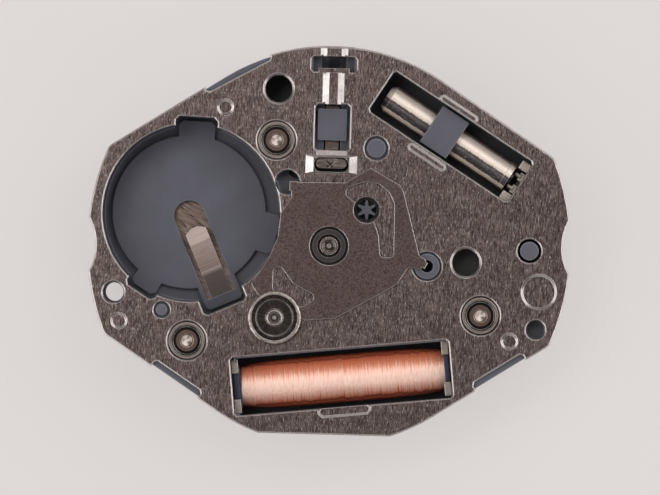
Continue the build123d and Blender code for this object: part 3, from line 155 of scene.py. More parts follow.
def makeBrushedGrain():
    # long fine scratches in one direction, short bright ticks among them, and broad patches
    tree, start, end = startGroup(
        "Brushed grain", [("Across", "Float", 12000), ("Along", "Float", 1100), ("Turn", "Float", 0)],
        [("Streaks", "Float"), ("Ticks", "Float"), ("Patches", "Float")])
    place = objectPlace(tree)
    spin = addNode(tree, "ShaderNodeCombineXYZ")
    tree.links.new(start["Turn"], spin.inputs["Z"])
    stretch = addNode(tree, "ShaderNodeCombineXYZ")
    for axis, label in (("X", "Across"), ("Y", "Along"), ("Z", "Across")):
        tree.links.new(start[label], stretch.inputs[axis])
    turned = addNode(tree, "ShaderNodeMapping")
    tree.links.new(place, turned.inputs["Vector"])
    tree.links.new(spin.outputs[0], turned.inputs["Rotation"])
    scaled = joinVectors(tree, "MULTIPLY", turned.outputs[0], stretch.outputs[0])
    streaks = addNoise(tree, scaled, Scale=1.0, Detail=4.0, Roughness=0.62)
    ticks = addNoise(tree, scaled, Scale=2.3, Detail=2.0, Roughness=0.5)
    patches = addNoise(tree, place, Scale=2400.0, Detail=4.0, Roughness=0.65)
    # only the highest part of the noise makes a tick
    fillOutputs(tree, end, Streaks=streaks, Ticks=spread(tree, ticks, 0, 1, 0.58, 0.75), Patches=patches)
    return tree


def makeMattGrain():
    # fine even grain, as on moulded plastic and tumbled metal
    tree, start, end = startGroup(
        "Matt grain", [("Size", "Float", 9000)],
        [("Grain", "Float"), ("Clouds", "Float")])
    place = objectPlace(tree)
    grain = addNode(tree, "ShaderNodeTexNoise", Detail=3.0, Roughness=0.65)
    tree.links.new(place, grain.inputs["Vector"])
    tree.links.new(start["Size"], grain.inputs["Scale"])
    clouds = addNoise(tree, place, Scale=700.0, Detail=3.0, Roughness=0.55)
    fillOutputs(tree, end, Grain=grain.outputs["Fac"], Clouds=clouds)
    return tree


# how far a face looks up, from 0 for a wall to 1 for a flat, and the share that it counts:
# as a slope, which gets a painted highlight, the stamped slopes most, chamfers and the slope by the block less, walls
# and flats not
slopeShares = [
    (0, 0), (0.3, 0), (0.45, 0.7), (0.64, 0.7), (0.68, 0.6), (0.75, 0.6), (0.8, 0.4), (0.85, 0.4), (0.87, 1),
    (0.91, 1), (0.98, 0),
]
# as a steep slope
steepShares = [(0, 0), (0.3, 0), (0.45, 1), (0.62, 1), (0.66, 0)]
# as a flat, for the painted shade on the pockets' floors, where it starts to count and where it counts in full
levelFrom = (0.85, 0.97)


def makeEdgeHighlight():
    # finds the edges for the painted edge highlights, 1 on an edge and 0 on the flats, with a normal that rounds
    # them, and the slopes
    tree, start, end = startGroup(
        "Edge highlight", [("Width", "Float", 0.00003), ("Gain", "Float", 4)],
        [("Edge", "Float"), ("Normal", "Vector"), ("Slope", "Float"), ("Steep", "Float"), ("Level", "Float")])
    facing = split(tree, addNode(tree, "ShaderNodeTexCoord").outputs["Normal"])
    upward = calc(tree, "ABSOLUTE", facing["Z"])
    rounded = addNode(tree, "ShaderNodeBevel", samples=4)
    tree.links.new(start["Width"], rounded.inputs["Radius"])
    flat = addNode(tree, "ShaderNodeNewGeometry").outputs["True Normal"]
    match = joinVectors(tree, "DOT_PRODUCT", rounded.outputs[0], flat)
    gained = calc(tree, "MULTIPLY", calc(tree, "SUBTRACT", 1, match), start["Gain"])
    fillOutputs(tree, end, Edge=calc(tree, "MINIMUM", gained, 1), Normal=rounded.outputs[0],
                Slope=placeRamp(tree, upward, slopeShares, 0, 1),
                Steep=placeRamp(tree, upward, steepShares, 0, 1),
                Level=spread(tree, upward, 0, 1, *levelFrom))
    return tree


def makeTurnedRings():
    # rings left by the lathe round up to three centres, and spokes round the first
    tree, start, end = startGroup(
        "Turned rings",
        [("Centre", "Vector", (0, 0, 0)), ("Second", "Vector", (0, 0, 0)), ("Third", "Vector", (0, 0, 0)),
         ("Pitch", "Float", 0.00006)],
        [("Rings", "Float"), ("Grain", "Float"), ("Far", "Float"), ("Spokes", "Float")])
    place = objectPlace(tree)
    flatten = addNode(tree, "ShaderNodeVectorMath", operation="MULTIPLY")
    flatten.inputs[1].default_value = (1, 1, 0)
    tree.links.new(place, flatten.inputs[0])
    flat = flatten.outputs[0]
    near = [joinVectors(tree, "DISTANCE", flat, start[label]) for label in ("Centre", "Second", "Third")]
    far = calc(tree, "MINIMUM", calc(tree, "MINIMUM", near[0], near[1]), near[2])
    ray = joinVectors(tree, "NORMALIZE", joinVectors(tree, "SUBTRACT", flat, start["Centre"]))
    count = calc(tree, "DIVIDE", far, start["Pitch"])
    fillOutputs(tree, end, Far=far, Spokes=addNoise(tree, ray, Scale=7.0, Detail=2.0),
                Rings=addNoise(tree, count, noise_dimensions="1D", Scale=1.0, Detail=2.0),
                Grain=addNoise(tree, place, Scale=9000.0, Detail=2.0))
    return tree


def makeCrossMark():
    # two short grooves that cross, 1 in the grooves
    tree, start, end = startGroup(
        "Cross mark",
        [("Centre", "Vector", (0, 0, 0)), ("Reach", "Float", 0.00013), ("Width", "Float", 0.000028)],
        [("Mark", "Float")])
    parts = split(tree, joinVectors(tree, "SUBTRACT", objectPlace(tree), start["Centre"]))
    along = calc(tree, "ABSOLUTE", parts["X"])
    across = calc(tree, "ABSOLUTE", parts["Y"])
    off = calc(tree, "ABSOLUTE", calc(tree, "SUBTRACT", along, across))
    groove = calc(tree, "LESS_THAN", off, start["Width"])
    near = calc(tree, "LESS_THAN", calc(tree, "MAXIMUM", along, across), start["Reach"])
    fillOutputs(tree, end, Mark=calc(tree, "MULTIPLY", groove, near))
    return tree


brushedGrain = makeBrushedGrain()
mattGrain = makeMattGrain()
edgeHighlight = makeEdgeHighlight()
turnedRings = makeTurnedRings()
crossMark = makeCrossMark()
print("node groups made")

# finishes


def startFinish(name, **values):
    material = bpy.data.materials.new(name)
    material.use_nodes = True
    tree = material.node_tree
    shader = tree.nodes["Principled BSDF"]
    for label, value in values.items():
        shader.inputs[label.replace("_", " ")].default_value = value
    return material, tree, shader


def placeGroup(tree, group, **values):
    node = addNode(tree, "ShaderNodeGroup")
    node.node_tree = group
    for label, value in values.items():
        node.inputs[label].default_value = value
    return node.outputs


def mixTones(tree, share, low, high):
    node = addNode(tree, "ShaderNodeMix", data_type="RGBA")
    for place, value in (("A", low), ("B", high)):
        socket = [s for s in node.inputs if s.name == place and s.type == "RGBA"][0]
        if isinstance(value, tuple):
            socket.default_value = value
        else:
            tree.links.new(value, socket)
    tree.links.new(share, node.inputs["Factor"])
    return [s for s in node.outputs if s.type == "RGBA"][0]


def endFinish(tree, shader, edgeAndSlope, look, colour, height, swing, lift):
    # painted highlights on the edges over the colour, roughness that swings with the grain, and the grain's relief
    edged = mixTones(tree, calc(tree, "MULTIPLY", edgeAndSlope["Edge"], look["rim"]), colour, look["bright"])
    if "mark" in look:
        cross = placeGroup(tree, crossMark, Centre=look["mark"])
        edged = mixTones(tree, cross["Mark"], edged, look["markTone"])
    rough = spread(tree, height, look["rough"] - swing, look["rough"] + swing)
    relief = addNode(tree, "ShaderNodeBump", Strength=look["depth"], Distance=lift * mm)
    tree.links.new(height, relief.inputs["Height"])
    tree.links.new(edgeAndSlope["Normal"], relief.inputs["Normal"])
    fillOutputs(tree, shader.inputs, **{"Base Color": edged, "Roughness": rough, "Normal": relief.outputs[0]})


# how much the roughness swings on brushed, matt and smooth faces, and the relief's height in millimetres
brushedSwing, mattSwing, smoothSwing = 0.08, 0.06, 0.05
metalLift, plasticLift = 0.01, 0.006


def makeBrushedMetal(name, look):
    material, tree, shader = startFinish(name, Metallic=look.get("metal", 1.0))
    grain = placeGroup(tree, brushedGrain, Across=look["across"], Along=look["along"], Turn=look["turn"])
    edgeAndSlope = placeGroup(tree, edgeHighlight, Width=look["edge"])
    colour = mixTones(tree, spread(tree, grain["Streaks"], 0, 1), look["dark"], look["light"])
    colour = mixTones(tree, spread(tree, grain["Patches"], 0, look["drift"]), colour, look["warm"])
    colour = mixTones(tree, calc(tree, "MULTIPLY", grain["Ticks"], look["ticks"]), colour, look["bright"])
    if "slope" in look:
        # painted highlight on the slopes, in patches
        slope, swing = look["slope"], look["slopeSwing"]
        patchy = spread(tree, grain["Patches"], slope - swing, slope + swing)
        colour = mixTones(tree, calc(tree, "MULTIPLY", edgeAndSlope["Slope"], patchy), colour, look["bright"])
        # rubbed steep slopes shine less like a mirror
        tree.links.new(spread(tree, edgeAndSlope["Steep"], 1, look["steepMetal"], 0, 1), shader.inputs["Metallic"])
    if "foot" in look:
        # painted shade: darker past one place along a strip
        foot = look["foot"]
        along = localPlace(tree, foot["from"], foot["turn"])["X"]
        share = spread(tree, along, 0, foot["share"], 0, foot["fade"] * mm)
        colour = mixTones(tree, share, colour, foot["tone"])
    endFinish(tree, shader, edgeAndSlope, look, colour, grain["Streaks"], brushedSwing, metalLift)
    return material


def makeMattMetal(name, look):
    material, tree, shader = startFinish(name, Metallic=look.get("metal", 1.0))
    grain = placeGroup(tree, mattGrain, Size=look["size"])
    edgeAndSlope = placeGroup(tree, edgeHighlight, Width=look["edge"])
    colour = mixTones(tree, spread(tree, grain["Grain"], 0, 1), look["dark"], look["light"])
    colour = mixTones(tree, spread(tree, grain["Clouds"], 0, look["drift"]), colour, look["warm"])
    endFinish(tree, shader, edgeAndSlope, look, colour, grain["Grain"], mattSwing, metalLift)
    return material


def makePlastic(name, look):
    material, tree, shader = startFinish(name, Metallic=0.0)
    grain = placeGroup(tree, mattGrain, Size=look["size"])
    edgeAndSlope = placeGroup(tree, edgeHighlight, Width=look["edge"])
    colour = mixTones(tree, spread(tree, grain["Clouds"], 0, 1), look["dark"], look["light"])
    if "deep" in look:
        # painted shade: darker on the floors of the pockets, by height
        height = calc(tree, "DIVIDE", split(tree, objectPlace(tree))["Z"], mm)
        shade = placeRamp(tree, height, look["pocketShadeLevels"], look["pocketShadeLevels"][0][0], look["pocketShadeLevels"][-1][0])
        colour = mixTones(tree, calc(tree, "MULTIPLY", shade, edgeAndSlope["Level"]), colour, look["deep"])
    endFinish(tree, shader, edgeAndSlope, look, colour, grain["Grain"], smoothSwing, plasticLift)
    return material


# unevenness of the bands along a round piece: scales of its two noises, and the share of the radius
# over which the finer one dies away towards the edges
bandLook = {"slow": 2600.0, "fast": 16000.0, "fadeFrom": 0.55, "fadeTo": 0.8}


def makeBands(tree, look):
    # painted highlights and painted shade as bands of colour along a round piece, by the share of its radius from its
    # lower to its upper edge
    parts = localPlace(tree, look["middle"], look["turn"])
    across = calc(tree, "DIVIDE", parts["Y"], look["radius"] * mm)
    slow = addNoise(tree, parts["X"], noise_dimensions="1D", Scale=bandLook["slow"], Detail=3.0)
    fast = addNoise(tree, parts["X"], noise_dimensions="1D", Scale=bandLook["fast"], Detail=2.0)
    swayed = calc(tree, "ADD", across, spread(tree, slow, -look["sway"], look["sway"]))
    inner = spread(tree, calc(tree, "ABSOLUTE", across), 1, 0, bandLook["fadeFrom"], bandLook["fadeTo"])
    jag = calc(tree, "MULTIPLY", spread(tree, fast, -look["jag"], look["jag"]), inner)
    return placeRamp(tree, calc(tree, "ADD", swayed, jag), look["bands"], -1, 1)


def makeBandedMetal(name, look):
    material, tree, shader = startFinish(name, Metallic=look["metal"])
    grain = placeGroup(tree, brushedGrain, Across=look["across"], Along=look["along"], Turn=look["grainTurn"])
    edgeAndSlope = placeGroup(tree, edgeHighlight, Width=look["edge"])
    ticks = calc(tree, "MULTIPLY", grain["Ticks"], look["ticks"])
    # painted highlight and shade bands, with bright ticks of the grain
    colour = mixTones(tree, ticks, makeBands(tree, look), look["bright"])
    endFinish(tree, shader, edgeAndSlope, look, colour, grain["Streaks"], smoothSwing, metalLift)
    return material


# the part of its noise from which a spoke starts to show and from which it shows in full
spokeFrom = (0.42, 0.6)


def makeTurnedMetal(name, look):
    material, tree, shader = startFinish(name, Metallic=1.0)
    rings = placeGroup(tree, turnedRings, Pitch=look["pitch"], **{
        label: (x * mm, y * mm, 0) for label, (x, y) in zip(("Centre", "Second", "Third"), look["centres"])})
    edgeAndSlope = placeGroup(tree, edgeHighlight, Width=look["edge"])
    far = calc(tree, "DIVIDE", rings["Far"], mm)
    spokes = spread(tree, rings["Spokes"], 0, look["spokes"], *spokeFrom)
    # painted highlight and shade rings by the distance from the middle
    colour = placeRamp(tree, far, look["face"], 0, 1)
    colour = mixTones(tree, spread(tree, rings["Rings"], 0, look["ringShare"]), colour, look["dark"])
    colour = mixTones(tree, spread(tree, rings["Grain"], 0, look["grainShare"]), colour, look["dark"])
    colour = mixTones(tree, spokes, colour, look["bright"])
    endFinish(tree, shader, edgeAndSlope, look, colour, rings["Rings"], mattSwing, metalLift)
    return material


# places that a finish and a piece share, the middle in millimetres and the turn in degrees
coilPlace = {"middle": (0.73, -5.173), "turn": 6.43}
crystalPlace = {"middle": (4.535, 4.399), "turn": -32.0}

coverLook = {
    "dark": tone(54, 46, 45), "light": tone(158, 138, 134), "warm": tone(82, 69, 66), "bright": tone(246, 240, 236),
    "across": 28000, "along": 3000, "turn": 0.03, "edge": 0.00004, "rim": 0.8, "ticks": 0.7, "drift": 0.9,
    "rough": 0.32, "depth": 0.5, "slope": 0.75, "slopeSwing": 0.25, "steepMetal": 0.5,
}
trainCoverLook = {
    "dark": tone(57, 48, 47), "light": tone(120, 104, 101), "warm": tone(82, 69, 66), "bright": tone(246, 240, 236),
    "size": 16000, "edge": 0.00006, "rim": 0.9, "drift": 0.5, "rough": 0.40, "depth": 0.3,
}
nickelLook = {
    "dark": tone(88, 76, 70), "light": tone(156, 136, 126), "warm": tone(118, 101, 92), "bright": tone(230, 226, 222),
    "across": 16000, "along": 1600, "turn": 2.1, "edge": 0.00003, "rim": 0.5, "ticks": 0.4, "drift": 0.3,
    "rough": 0.34, "depth": 0.25,
}
greyPlasticLook = {
    "dark": tone(78, 78, 88), "light": tone(88, 88, 99), "bright": tone(150, 152, 160),
    "size": 16000, "edge": 0.00009, "rim": 0.8, "rough": 0.46, "depth": 0.2, "deep": tone(32, 28, 30),
    # share of the painted shade by height
    "pocketShadeLevels": [
        (0, 0.8), (0.29, 0.28), (0.31, 0.28), (0.335, 0.85), (0.51, 0.8), (0.54, 0), (0.60, 0), (0.8, 0.85),
        (1.85, 0.75), (2.15, 0.4), (2.45, 0.32), (2.62, 0.16), (3.0, 0.16),
    ],
}
# the colours of turned faces go by the distance from the middle in millimetres, with painted highlight rings and
# painted shade: a bright pip and rim round a dark dish on the pillars, bright rings on the pin's boss and rim, a
# darker middle on the bearing
pillarLook = {
    "centres": [(-2.169, 4.078), (-5.454, -3.854), (5.989, -2.563)], "pitch": 0.00005,
    "dark": tone(40, 34, 32), "bright": tone(248, 242, 238), "ringShare": 0.4, "grainShare": 0.05, "spokes": 0.0,
    "face": [
        (0.0, (228, 214, 206)), (0.20, (214, 198, 189)), (0.225, (108, 92, 84)), (0.28, (132, 113, 103)),
        (0.41, (136, 116, 106)), (0.435, (36, 30, 27)), (0.60, (42, 35, 31)), (0.63, (184, 166, 156)),
        (1.0, (200, 184, 175)),
    ],
    "edge": 0.00004, "rim": 0.9, "rough": 0.29, "depth": 0.1,
}
pinLook = {
    "centres": [(-2.053, -2.857)] * 3, "pitch": 0.00006,
    "dark": tone(34, 28, 27), "bright": tone(248, 242, 238), "ringShare": 0.3, "grainShare": 0.6, "spokes": 0.03,
    "face": [
        (0.0, (240, 232, 226)), (0.06, (230, 220, 214)), (0.09, (96, 83, 78)), (0.16, (84, 72, 67)),
        (0.19, (176, 162, 154)), (0.23, (92, 80, 75)), (0.27, (214, 202, 194)), (0.32, (204, 190, 182)),
        (0.35, (70, 60, 56)), (0.70, (66, 56, 52)), (0.74, (48, 41, 38)), (0.88, (54, 46, 43)),
        (0.91, (232, 220, 212)), (1.0, (200, 184, 174)),
    ],
    "edge": 0.00008, "rim": 0.45, "rough": 0.3, "depth": 0.25,
}
bearingLook = {
    "centres": [(0, 0)] * 3, "pitch": 0.00006,
    "dark": tone(62, 53, 50), "bright": tone(240, 228, 222), "ringShare": 0.7, "grainShare": 0.3, "spokes": 0.15,
    "face": [(0.0, (92, 80, 76)), (0.27, (92, 80, 76)), (0.30, (140, 125, 119)), (1.0, (132, 118, 112))],
    "edge": 0.00003, "rim": 0.9, "rough": 0.3, "depth": 0.6,
}
canLook = {
    "middle": (*crystalPlace["middle"], 0), "turn": crystalPlace["turn"], "radius": 0.6, "sway": 0.02, "jag": 0.03,
    "bright": tone(252, 246, 242), "metal": 0.25, "across": 15000, "along": 2200, "grainTurn": 2.13,
    "edge": 0.00004, "rim": 0.7, "ticks": 0.25, "rough": 0.3, "depth": 0.08,
    # painted reflections: dark at the edges and in a middle band, between two painted highlight bands
    "bands": [
        (-1.0, (70, 60, 56)), (-0.90, (120, 104, 94)), (-0.84, (246, 226, 206)), (-0.68, (240, 218, 196)),
        (-0.62, (66, 58, 58)), (-0.34, (48, 43, 46)), (-0.22, (96, 86, 84)), (-0.06, (60, 52, 52)),
        (0.02, (224, 207, 193)), (0.3, (234, 219, 206)), (0.74, (212, 195, 182)), (0.82, (122, 106, 97)),
        (1.0, (84, 74, 68)),
    ],
}
leafLook = {
    "dark": tone(158, 138, 130), "light": tone(186, 166, 157), "warm": tone(170, 146, 136),
    "bright": tone(250, 244, 238), "across": 16000, "along": 900, "turn": 1.1, "edge": 0.00005, "rim": 0.9,
    "ticks": 0.1, "drift": 0.2, "rough": 0.42, "depth": 0.08, "metal": 0.12,
    # painted shade on the leaf's foot
    "foot": {"from": (-4.62, -1.02, 0), "turn": -66.2, "share": 0.85, "fade": 0.2, "tone": tone(44, 37, 35)},
}
finishes = {
    "cover_steel": makeBrushedMetal("Cover steel", coverLook),
    "train_cover_steel": makeMattMetal("Train cover steel", trainCoverLook),
    "nickel_plate": makeBrushedMetal("Nickel plate", nickelLook),
    "grey_plastic": makePlastic("Grey plastic", greyPlasticLook),
    "turned_nickel": makeTurnedMetal("Turned nickel", pillarLook),
    "pin_nickel": makeTurnedMetal("Pin nickel", pinLook),
    "dark_bearing": makeTurnedMetal("Dark bearing", bearingLook),
    "crystal_can": makeBandedMetal("Crystal can", canLook),
    "leaf_nickel": makeBrushedMetal("Leaf nickel", leafLook),
    "brass_tube": makeMattMetal("Brass tube", {
        "dark": tone(190, 150, 90), "light": tone(224, 188, 122), "warm": tone(200, 150, 90),
        "bright": tone(250, 226, 170), "size": 15000, "edge": 0.00002, "rim": 0.5, "drift": 0.3,
        "rough": 0.28, "depth": 0.2}),
    "spring_nickel": makeBrushedMetal("Spring nickel", {
        "dark": tone(158, 138, 126), "light": tone(206, 188, 176), "warm": tone(186, 156, 136),
        "bright": tone(250, 240, 230), "across": 16000, "along": 1500, "turn": 1.1, "edge": 0.00003, "rim": 0.8,
        "ticks": 0.4, "drift": 0.3, "rough": 0.28, "depth": 0.2}),
    "black_glass": makePlastic("Black glass", {
        "dark": tone(30, 28, 32), "light": tone(44, 40, 46), "bright": tone(90, 86, 92),
        "size": 12000, "edge": 0.00002, "rim": 0.3, "rough": 0.2, "depth": 0.1}),
    "tinned_wire": makeMattMetal("Tinned wire", {
        "dark": tone(176, 164, 152), "light": tone(220, 210, 198), "warm": tone(196, 178, 160),
        "bright": tone(248, 242, 236), "size": 15000, "edge": 0.00004, "rim": 0.7, "drift": 0.4,
        "rough": 0.32, "depth": 0.4, "metal": 0.4}),
    "circuit_board": makePlastic("Circuit board", {
        "dark": tone(44, 42, 38), "light": tone(58, 52, 44), "bright": tone(130, 116, 88),
        "size": 14000, "edge": 0.00002, "rim": 0.4, "rough": 0.42, "depth": 0.2}),
    "soft_iron": makeMattMetal("Soft iron", {
        "dark": tone(140, 132, 126), "light": tone(176, 168, 160), "warm": tone(150, 138, 124),
        "bright": tone(224, 218, 210), "size": 12000, "edge": 0.00002, "rim": 0.5, "drift": 0.4,
        "rough": 0.4, "depth": 0.3}),
    "blue_plastic": makePlastic("Blue plastic", {
        "dark": tone(34, 36, 58), "light": tone(46, 48, 72), "bright": tone(110, 112, 134),
        "size": 15000, "edge": 0.00003, "rim": 0.5, "rough": 0.4, "depth": 0.2}),
    "magnet": makeMattMetal("Magnet", {
        "dark": tone(86, 84, 84), "light": tone(112, 110, 108), "warm": tone(96, 90, 86),
        "bright": tone(180, 176, 172), "size": 12000, "edge": 0.00002, "rim": 0.5, "drift": 0.4,
        "rough": 0.5, "depth": 0.4}),
    "white_plastic": makePlastic("White plastic", {
        "dark": tone(206, 204, 196), "light": tone(222, 220, 212), "bright": tone(244, 243, 238),
        "size": 14000, "edge": 0.00002, "rim": 0.4, "rough": 0.42, "depth": 0.2}),
    "dark_plastic": makePlastic("Dark plastic", {
        "dark": tone(58, 58, 68), "light": tone(72, 72, 82), "bright": tone(130, 128, 136),
        "size": 14000, "edge": 0.00002, "rim": 0.5, "rough": 0.42, "depth": 0.2}),
    "hub_plastic": makePlastic("Hub plastic", {
        "dark": tone(42, 36, 36), "light": tone(52, 45, 44), "bright": tone(160, 150, 146),
        "size": 14000, "edge": 0.00004, "rim": 0.8, "rough": 0.3, "depth": 0.2}),
    "brass_wheel": makeMattMetal("Brass wheel", {
        "dark": tone(196, 158, 92), "light": tone(226, 190, 120), "warm": tone(206, 160, 96),
        "bright": tone(252, 232, 178), "size": 12000, "edge": 0.00002, "rim": 0.6, "drift": 0.3,
        "rough": 0.3, "depth": 0.3}),
    "steel_arbor": makeMattMetal("Steel arbor", {
        "dark": tone(160, 156, 152), "light": tone(196, 192, 188), "warm": tone(176, 170, 162),
        "bright": tone(240, 238, 234), "size": 16000, "edge": 0.00002, "rim": 0.5, "drift": 0.2,
        "rough": 0.24, "depth": 0.2}),
    "lever_steel": makeBrushedMetal("Lever steel", {
        "dark": tone(92, 82, 78), "light": tone(132, 120, 114), "warm": tone(108, 94, 88),
        "bright": tone(232, 224, 218), "across": 12000, "along": 1800, "turn": 1.5, "edge": 0.00003, "rim": 0.7,
        "ticks": 0.4, "drift": 0.3, "rough": 0.34, "depth": 0.3,
        "mark": (-0.05 * mm, 3.19 * mm, 2.93 * mm), "markTone": tone(24, 20, 20)}),
}

finishOf = {
    "cover_plate": "cover_steel", "train_cover": "train_cover_steel", "dial_side_plate": "nickel_plate",
    "main_plate": "grey_plastic", "train_bridge": "hub_plastic", "pillars": "turned_nickel",
    "headed_pin": "pin_nickel", "centre_bearing": "dark_bearing", "centre_tube": "brass_tube",
    "centre_bridge": "spring_nickel", "battery_contact": "leaf_nickel", "crystal_can": "crystal_can",
    "crystal_seal": "black_glass", "crystal_leads": "tinned_wire", "circuit_board": "circuit_board",
    "circuit_chip": "black_glass", "stator": "soft_iron", "coil_core": "soft_iron", "coil_flanges": "blue_plastic",
    "wheel_posts": "steel_arbor", "lever_posts": "steel_arbor", "rotor_magnet": "magnet",
    "rotor_pinion": "white_plastic", "fifth_wheel": "dark_plastic", "second_wheel": "white_plastic",
    "second_arbor": "steel_arbor", "third_wheel": "white_plastic", "centre_wheel": "brass_wheel",
    "cannon_pinion": "steel_arbor", "minute_wheel": "white_plastic", "hour_wheel": "brass_wheel",
    "setting_wheel": "white_plastic", "clutch_wheel": "steel_arbor", "yoke": "lever_steel",
    "stop_lever": "lever_steel", "setting_lever": "lever_steel",
}
for name, finishName in finishOf.items():
    for materialSlot in nodes[name].material_slots:
        materialSlot.material = finishes[finishName]
print("finishes placed on", len(finishOf), "nodes")

# coil winding

windingLook = {
    "middle": (*coilPlace["middle"], 1.375), "turn": coilPlace["turn"], "length": 8.02,
    "radius": 0.93, "endDrop": 0.16, "turns": 148, "wire": 0.034, "wireSides": 6, "steps": 36,
    # the core's depth under the middle of the wires, as a share of the wire's radius
    "heartSink": 0.4, "heartCuts": 40,
    # the distance at which loose ends are joined, and the angle in degrees up to which faces are smooth
    "weld": 0.0001, "smooth": 70,
    "metal": 0.35, "sway": 0.05, "jag": 0.22, "across": 24000, "along": 1600, "rough": (0.34, 0.48),
    "streak": tone(200, 110, 80), "streakShare": 0.35,
    # painted highlight across the middle of the winding and painted shade towards its edges, with thin dark lines
    # near them
    "bands": [
        (-1.0, (190, 90, 60)), (-0.90, (250, 140, 100)), (-0.84, (150, 64, 44)), (-0.76, (252, 158, 122)),
        (-0.62, (254, 208, 188)), (-0.2, (255, 230, 216)), (0.2, (255, 222, 206)), (0.42, (246, 174, 142)),
        (0.62, (246, 152, 114)), (0.78, (252, 148, 108)), (0.85, (190, 84, 56)), (0.91, (255, 148, 104)),
        (1.0, (220, 104, 70)),
    ],
}


def makeCopper():
    look = windingLook
    material, tree, shader = startFinish("Copper wire", Metallic=look["metal"])
    turn = -math.radians(look["turn"])
    grain = placeGroup(tree, brushedGrain, Across=look["across"], Along=look["along"], Turn=turn)
    streaks = spread(tree, grain["Streaks"], look["streakShare"], 0)
    # painted highlight and shade in bands across the winding, with the grain's streaks
    colour = mixTones(tree, streaks, makeBands(tree, look), look["streak"])
    rough = spread(tree, grain["Streaks"], *look["rough"])
    fillOutputs(tree, shader.inputs, **{"Base Color": colour, "Roughness": rough})
    return material


def barrelRadius(along):
    # the winding is a little fuller in the middle than at its ends
    share = abs(along) / (windingLook["length"] / 2)
    return windingLook["radius"] - windingLook["endDrop"] * share ** 4


def makeTurns():
    # a small ring of wire, wound along X with the screw modifier
    look = windingLook
    deselectAll()
    bpy.ops.mesh.primitive_circle_add(vertices=look["wireSides"], radius=look["wire"] * mm, fill_type="NOTHING",
                                      location=(-look["length"] / 2 * mm, 0, look["radius"] * mm),
                                      rotation=(math.pi / 2, 0, 0))
    turns = bpy.context.object
    bpy.ops.object.transform_apply(location=True, rotation=True, scale=True)
    screw = turns.modifiers.new("Turns", "SCREW")
    screw.axis = "X"
    screw.angle = 2 * math.pi
    screw.screw_offset = look["length"] / look["turns"] * mm
    screw.iterations = look["turns"]
    screw.steps = look["steps"]
    screw.render_steps = look["steps"]
    bpy.ops.object.modifier_apply(modifier=screw.name)
    bpy.ops.object.mode_set(mode="EDIT")
    bpy.ops.mesh.select_all(action="SELECT")
    bpy.ops.mesh.remove_doubles(threshold=look["weld"] * mm)
    bpy.ops.mesh.fill_holes(sides=look["wireSides"] + 2)
    bpy.ops.mesh.select_all(action="SELECT")
    bpy.ops.mesh.normals_make_consistent(inside=False)
    bpy.ops.object.mode_set(mode="OBJECT")
    return turns


def makeHeart():
    # the plain core under the wires, cut along its length so that it can follow their barrel shape
    look = windingLook
    deselectAll()
    bpy.ops.mesh.primitive_cylinder_add(vertices=look["steps"],
                                        radius=(look["radius"] - look["wire"] * look["heartSink"]) * mm,
                                        depth=look["length"] * mm, rotation=(0, math.pi / 2, 0))
    heart = bpy.context.object
    bpy.ops.object.transform_apply(location=True, rotation=True, scale=True)
    bpy.ops.object.mode_set(mode="EDIT")
    bpy.ops.mesh.select_all(action="DESELECT")
    bpy.ops.mesh.select_mode(type="EDGE")
    net = bmesh.from_edit_mesh(heart.data)
    for edge in net.edges:
        edge.select = abs(edge.verts[0].co.x - edge.verts[1].co.x) > look["length"] / 2 * mm
    bmesh.update_edit_mesh(heart.data)
    bpy.ops.mesh.subdivide_edgering(number_cuts=look["heartCuts"])
    bpy.ops.object.mode_set(mode="OBJECT")
    return heart


def joinPieces(pieces, name, middle, turn):
    # one object, moved to its place in its mesh
    deselectAll()
    for piece in pieces:
        piece.select_set(True)
    bpy.context.view_layer.objects.active = pieces[0]
    bpy.ops.object.join()
    whole = bpy.context.object
    whole.name = name
    whole.data.name = name
    whole.data.transform(Matrix.Translation(Vector(middle) * mm) @ Matrix.Rotation(math.radians(turn), 4, "Z"))
    whole.data.materials.clear()
    return whole


def makeWinding():
    look = windingLook
    pieces = [makeTurns(), makeHeart()]
    for piece in pieces:
        for vertex in piece.data.vertices:
            spot = vertex.co
            scale = barrelRadius(spot.x / mm) / look["radius"]
            spot.y *= scale
            spot.z *= scale
    winding = joinPieces(pieces, "FineWinding", look["middle"], look["turn"])
    deselectAll()
    winding.select_set(True)
    bpy.context.view_layer.objects.active = winding
    bpy.ops.object.shade_smooth_by_angle(angle=math.radians(look["smooth"]))
    winding.data.materials.append(makeCopper())
    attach(winding, "movement_base")
    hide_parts("coil_winding")
    print("winding made:", len(winding.data.polygons), "faces")


makeWinding()

# small metal squares in the corners of the two windows

squareBevel = {"offset": 0.03, "segments": 2}
squaresLook = {
    # each place is along, across, length and width, from the middle of the coil or the crystal
    "CoilSquares": {
        "at": coilPlace, "low": 2.19, "high": 2.44, "finish": "soft_iron",
        "places": [(-4.23, 0.83, 0.30, 0.56), (-4.23, -0.75, 0.30, 0.56), (4.04, 0.88, 0.30, 0.56),
                   (4.04, -0.75, 0.30, 0.56)]},
    "CoilEnds": {
        "at": coilPlace, "low": 2.19, "high": 2.27, "finish": "blue_plastic",
        "places": [(-4.2, 0.04, 0.22, 1.02), (4.06, 0.06, 0.2, 1.08)]},
    "CrystalSquares": {
        "at": crystalPlace, "low": 2.02, "high": 2.2, "finish": "tinned_wire",
        "places": [(3.33, 0.70, 0.74, 0.36), (3.33, -0.70, 0.74, 0.36)]},
}


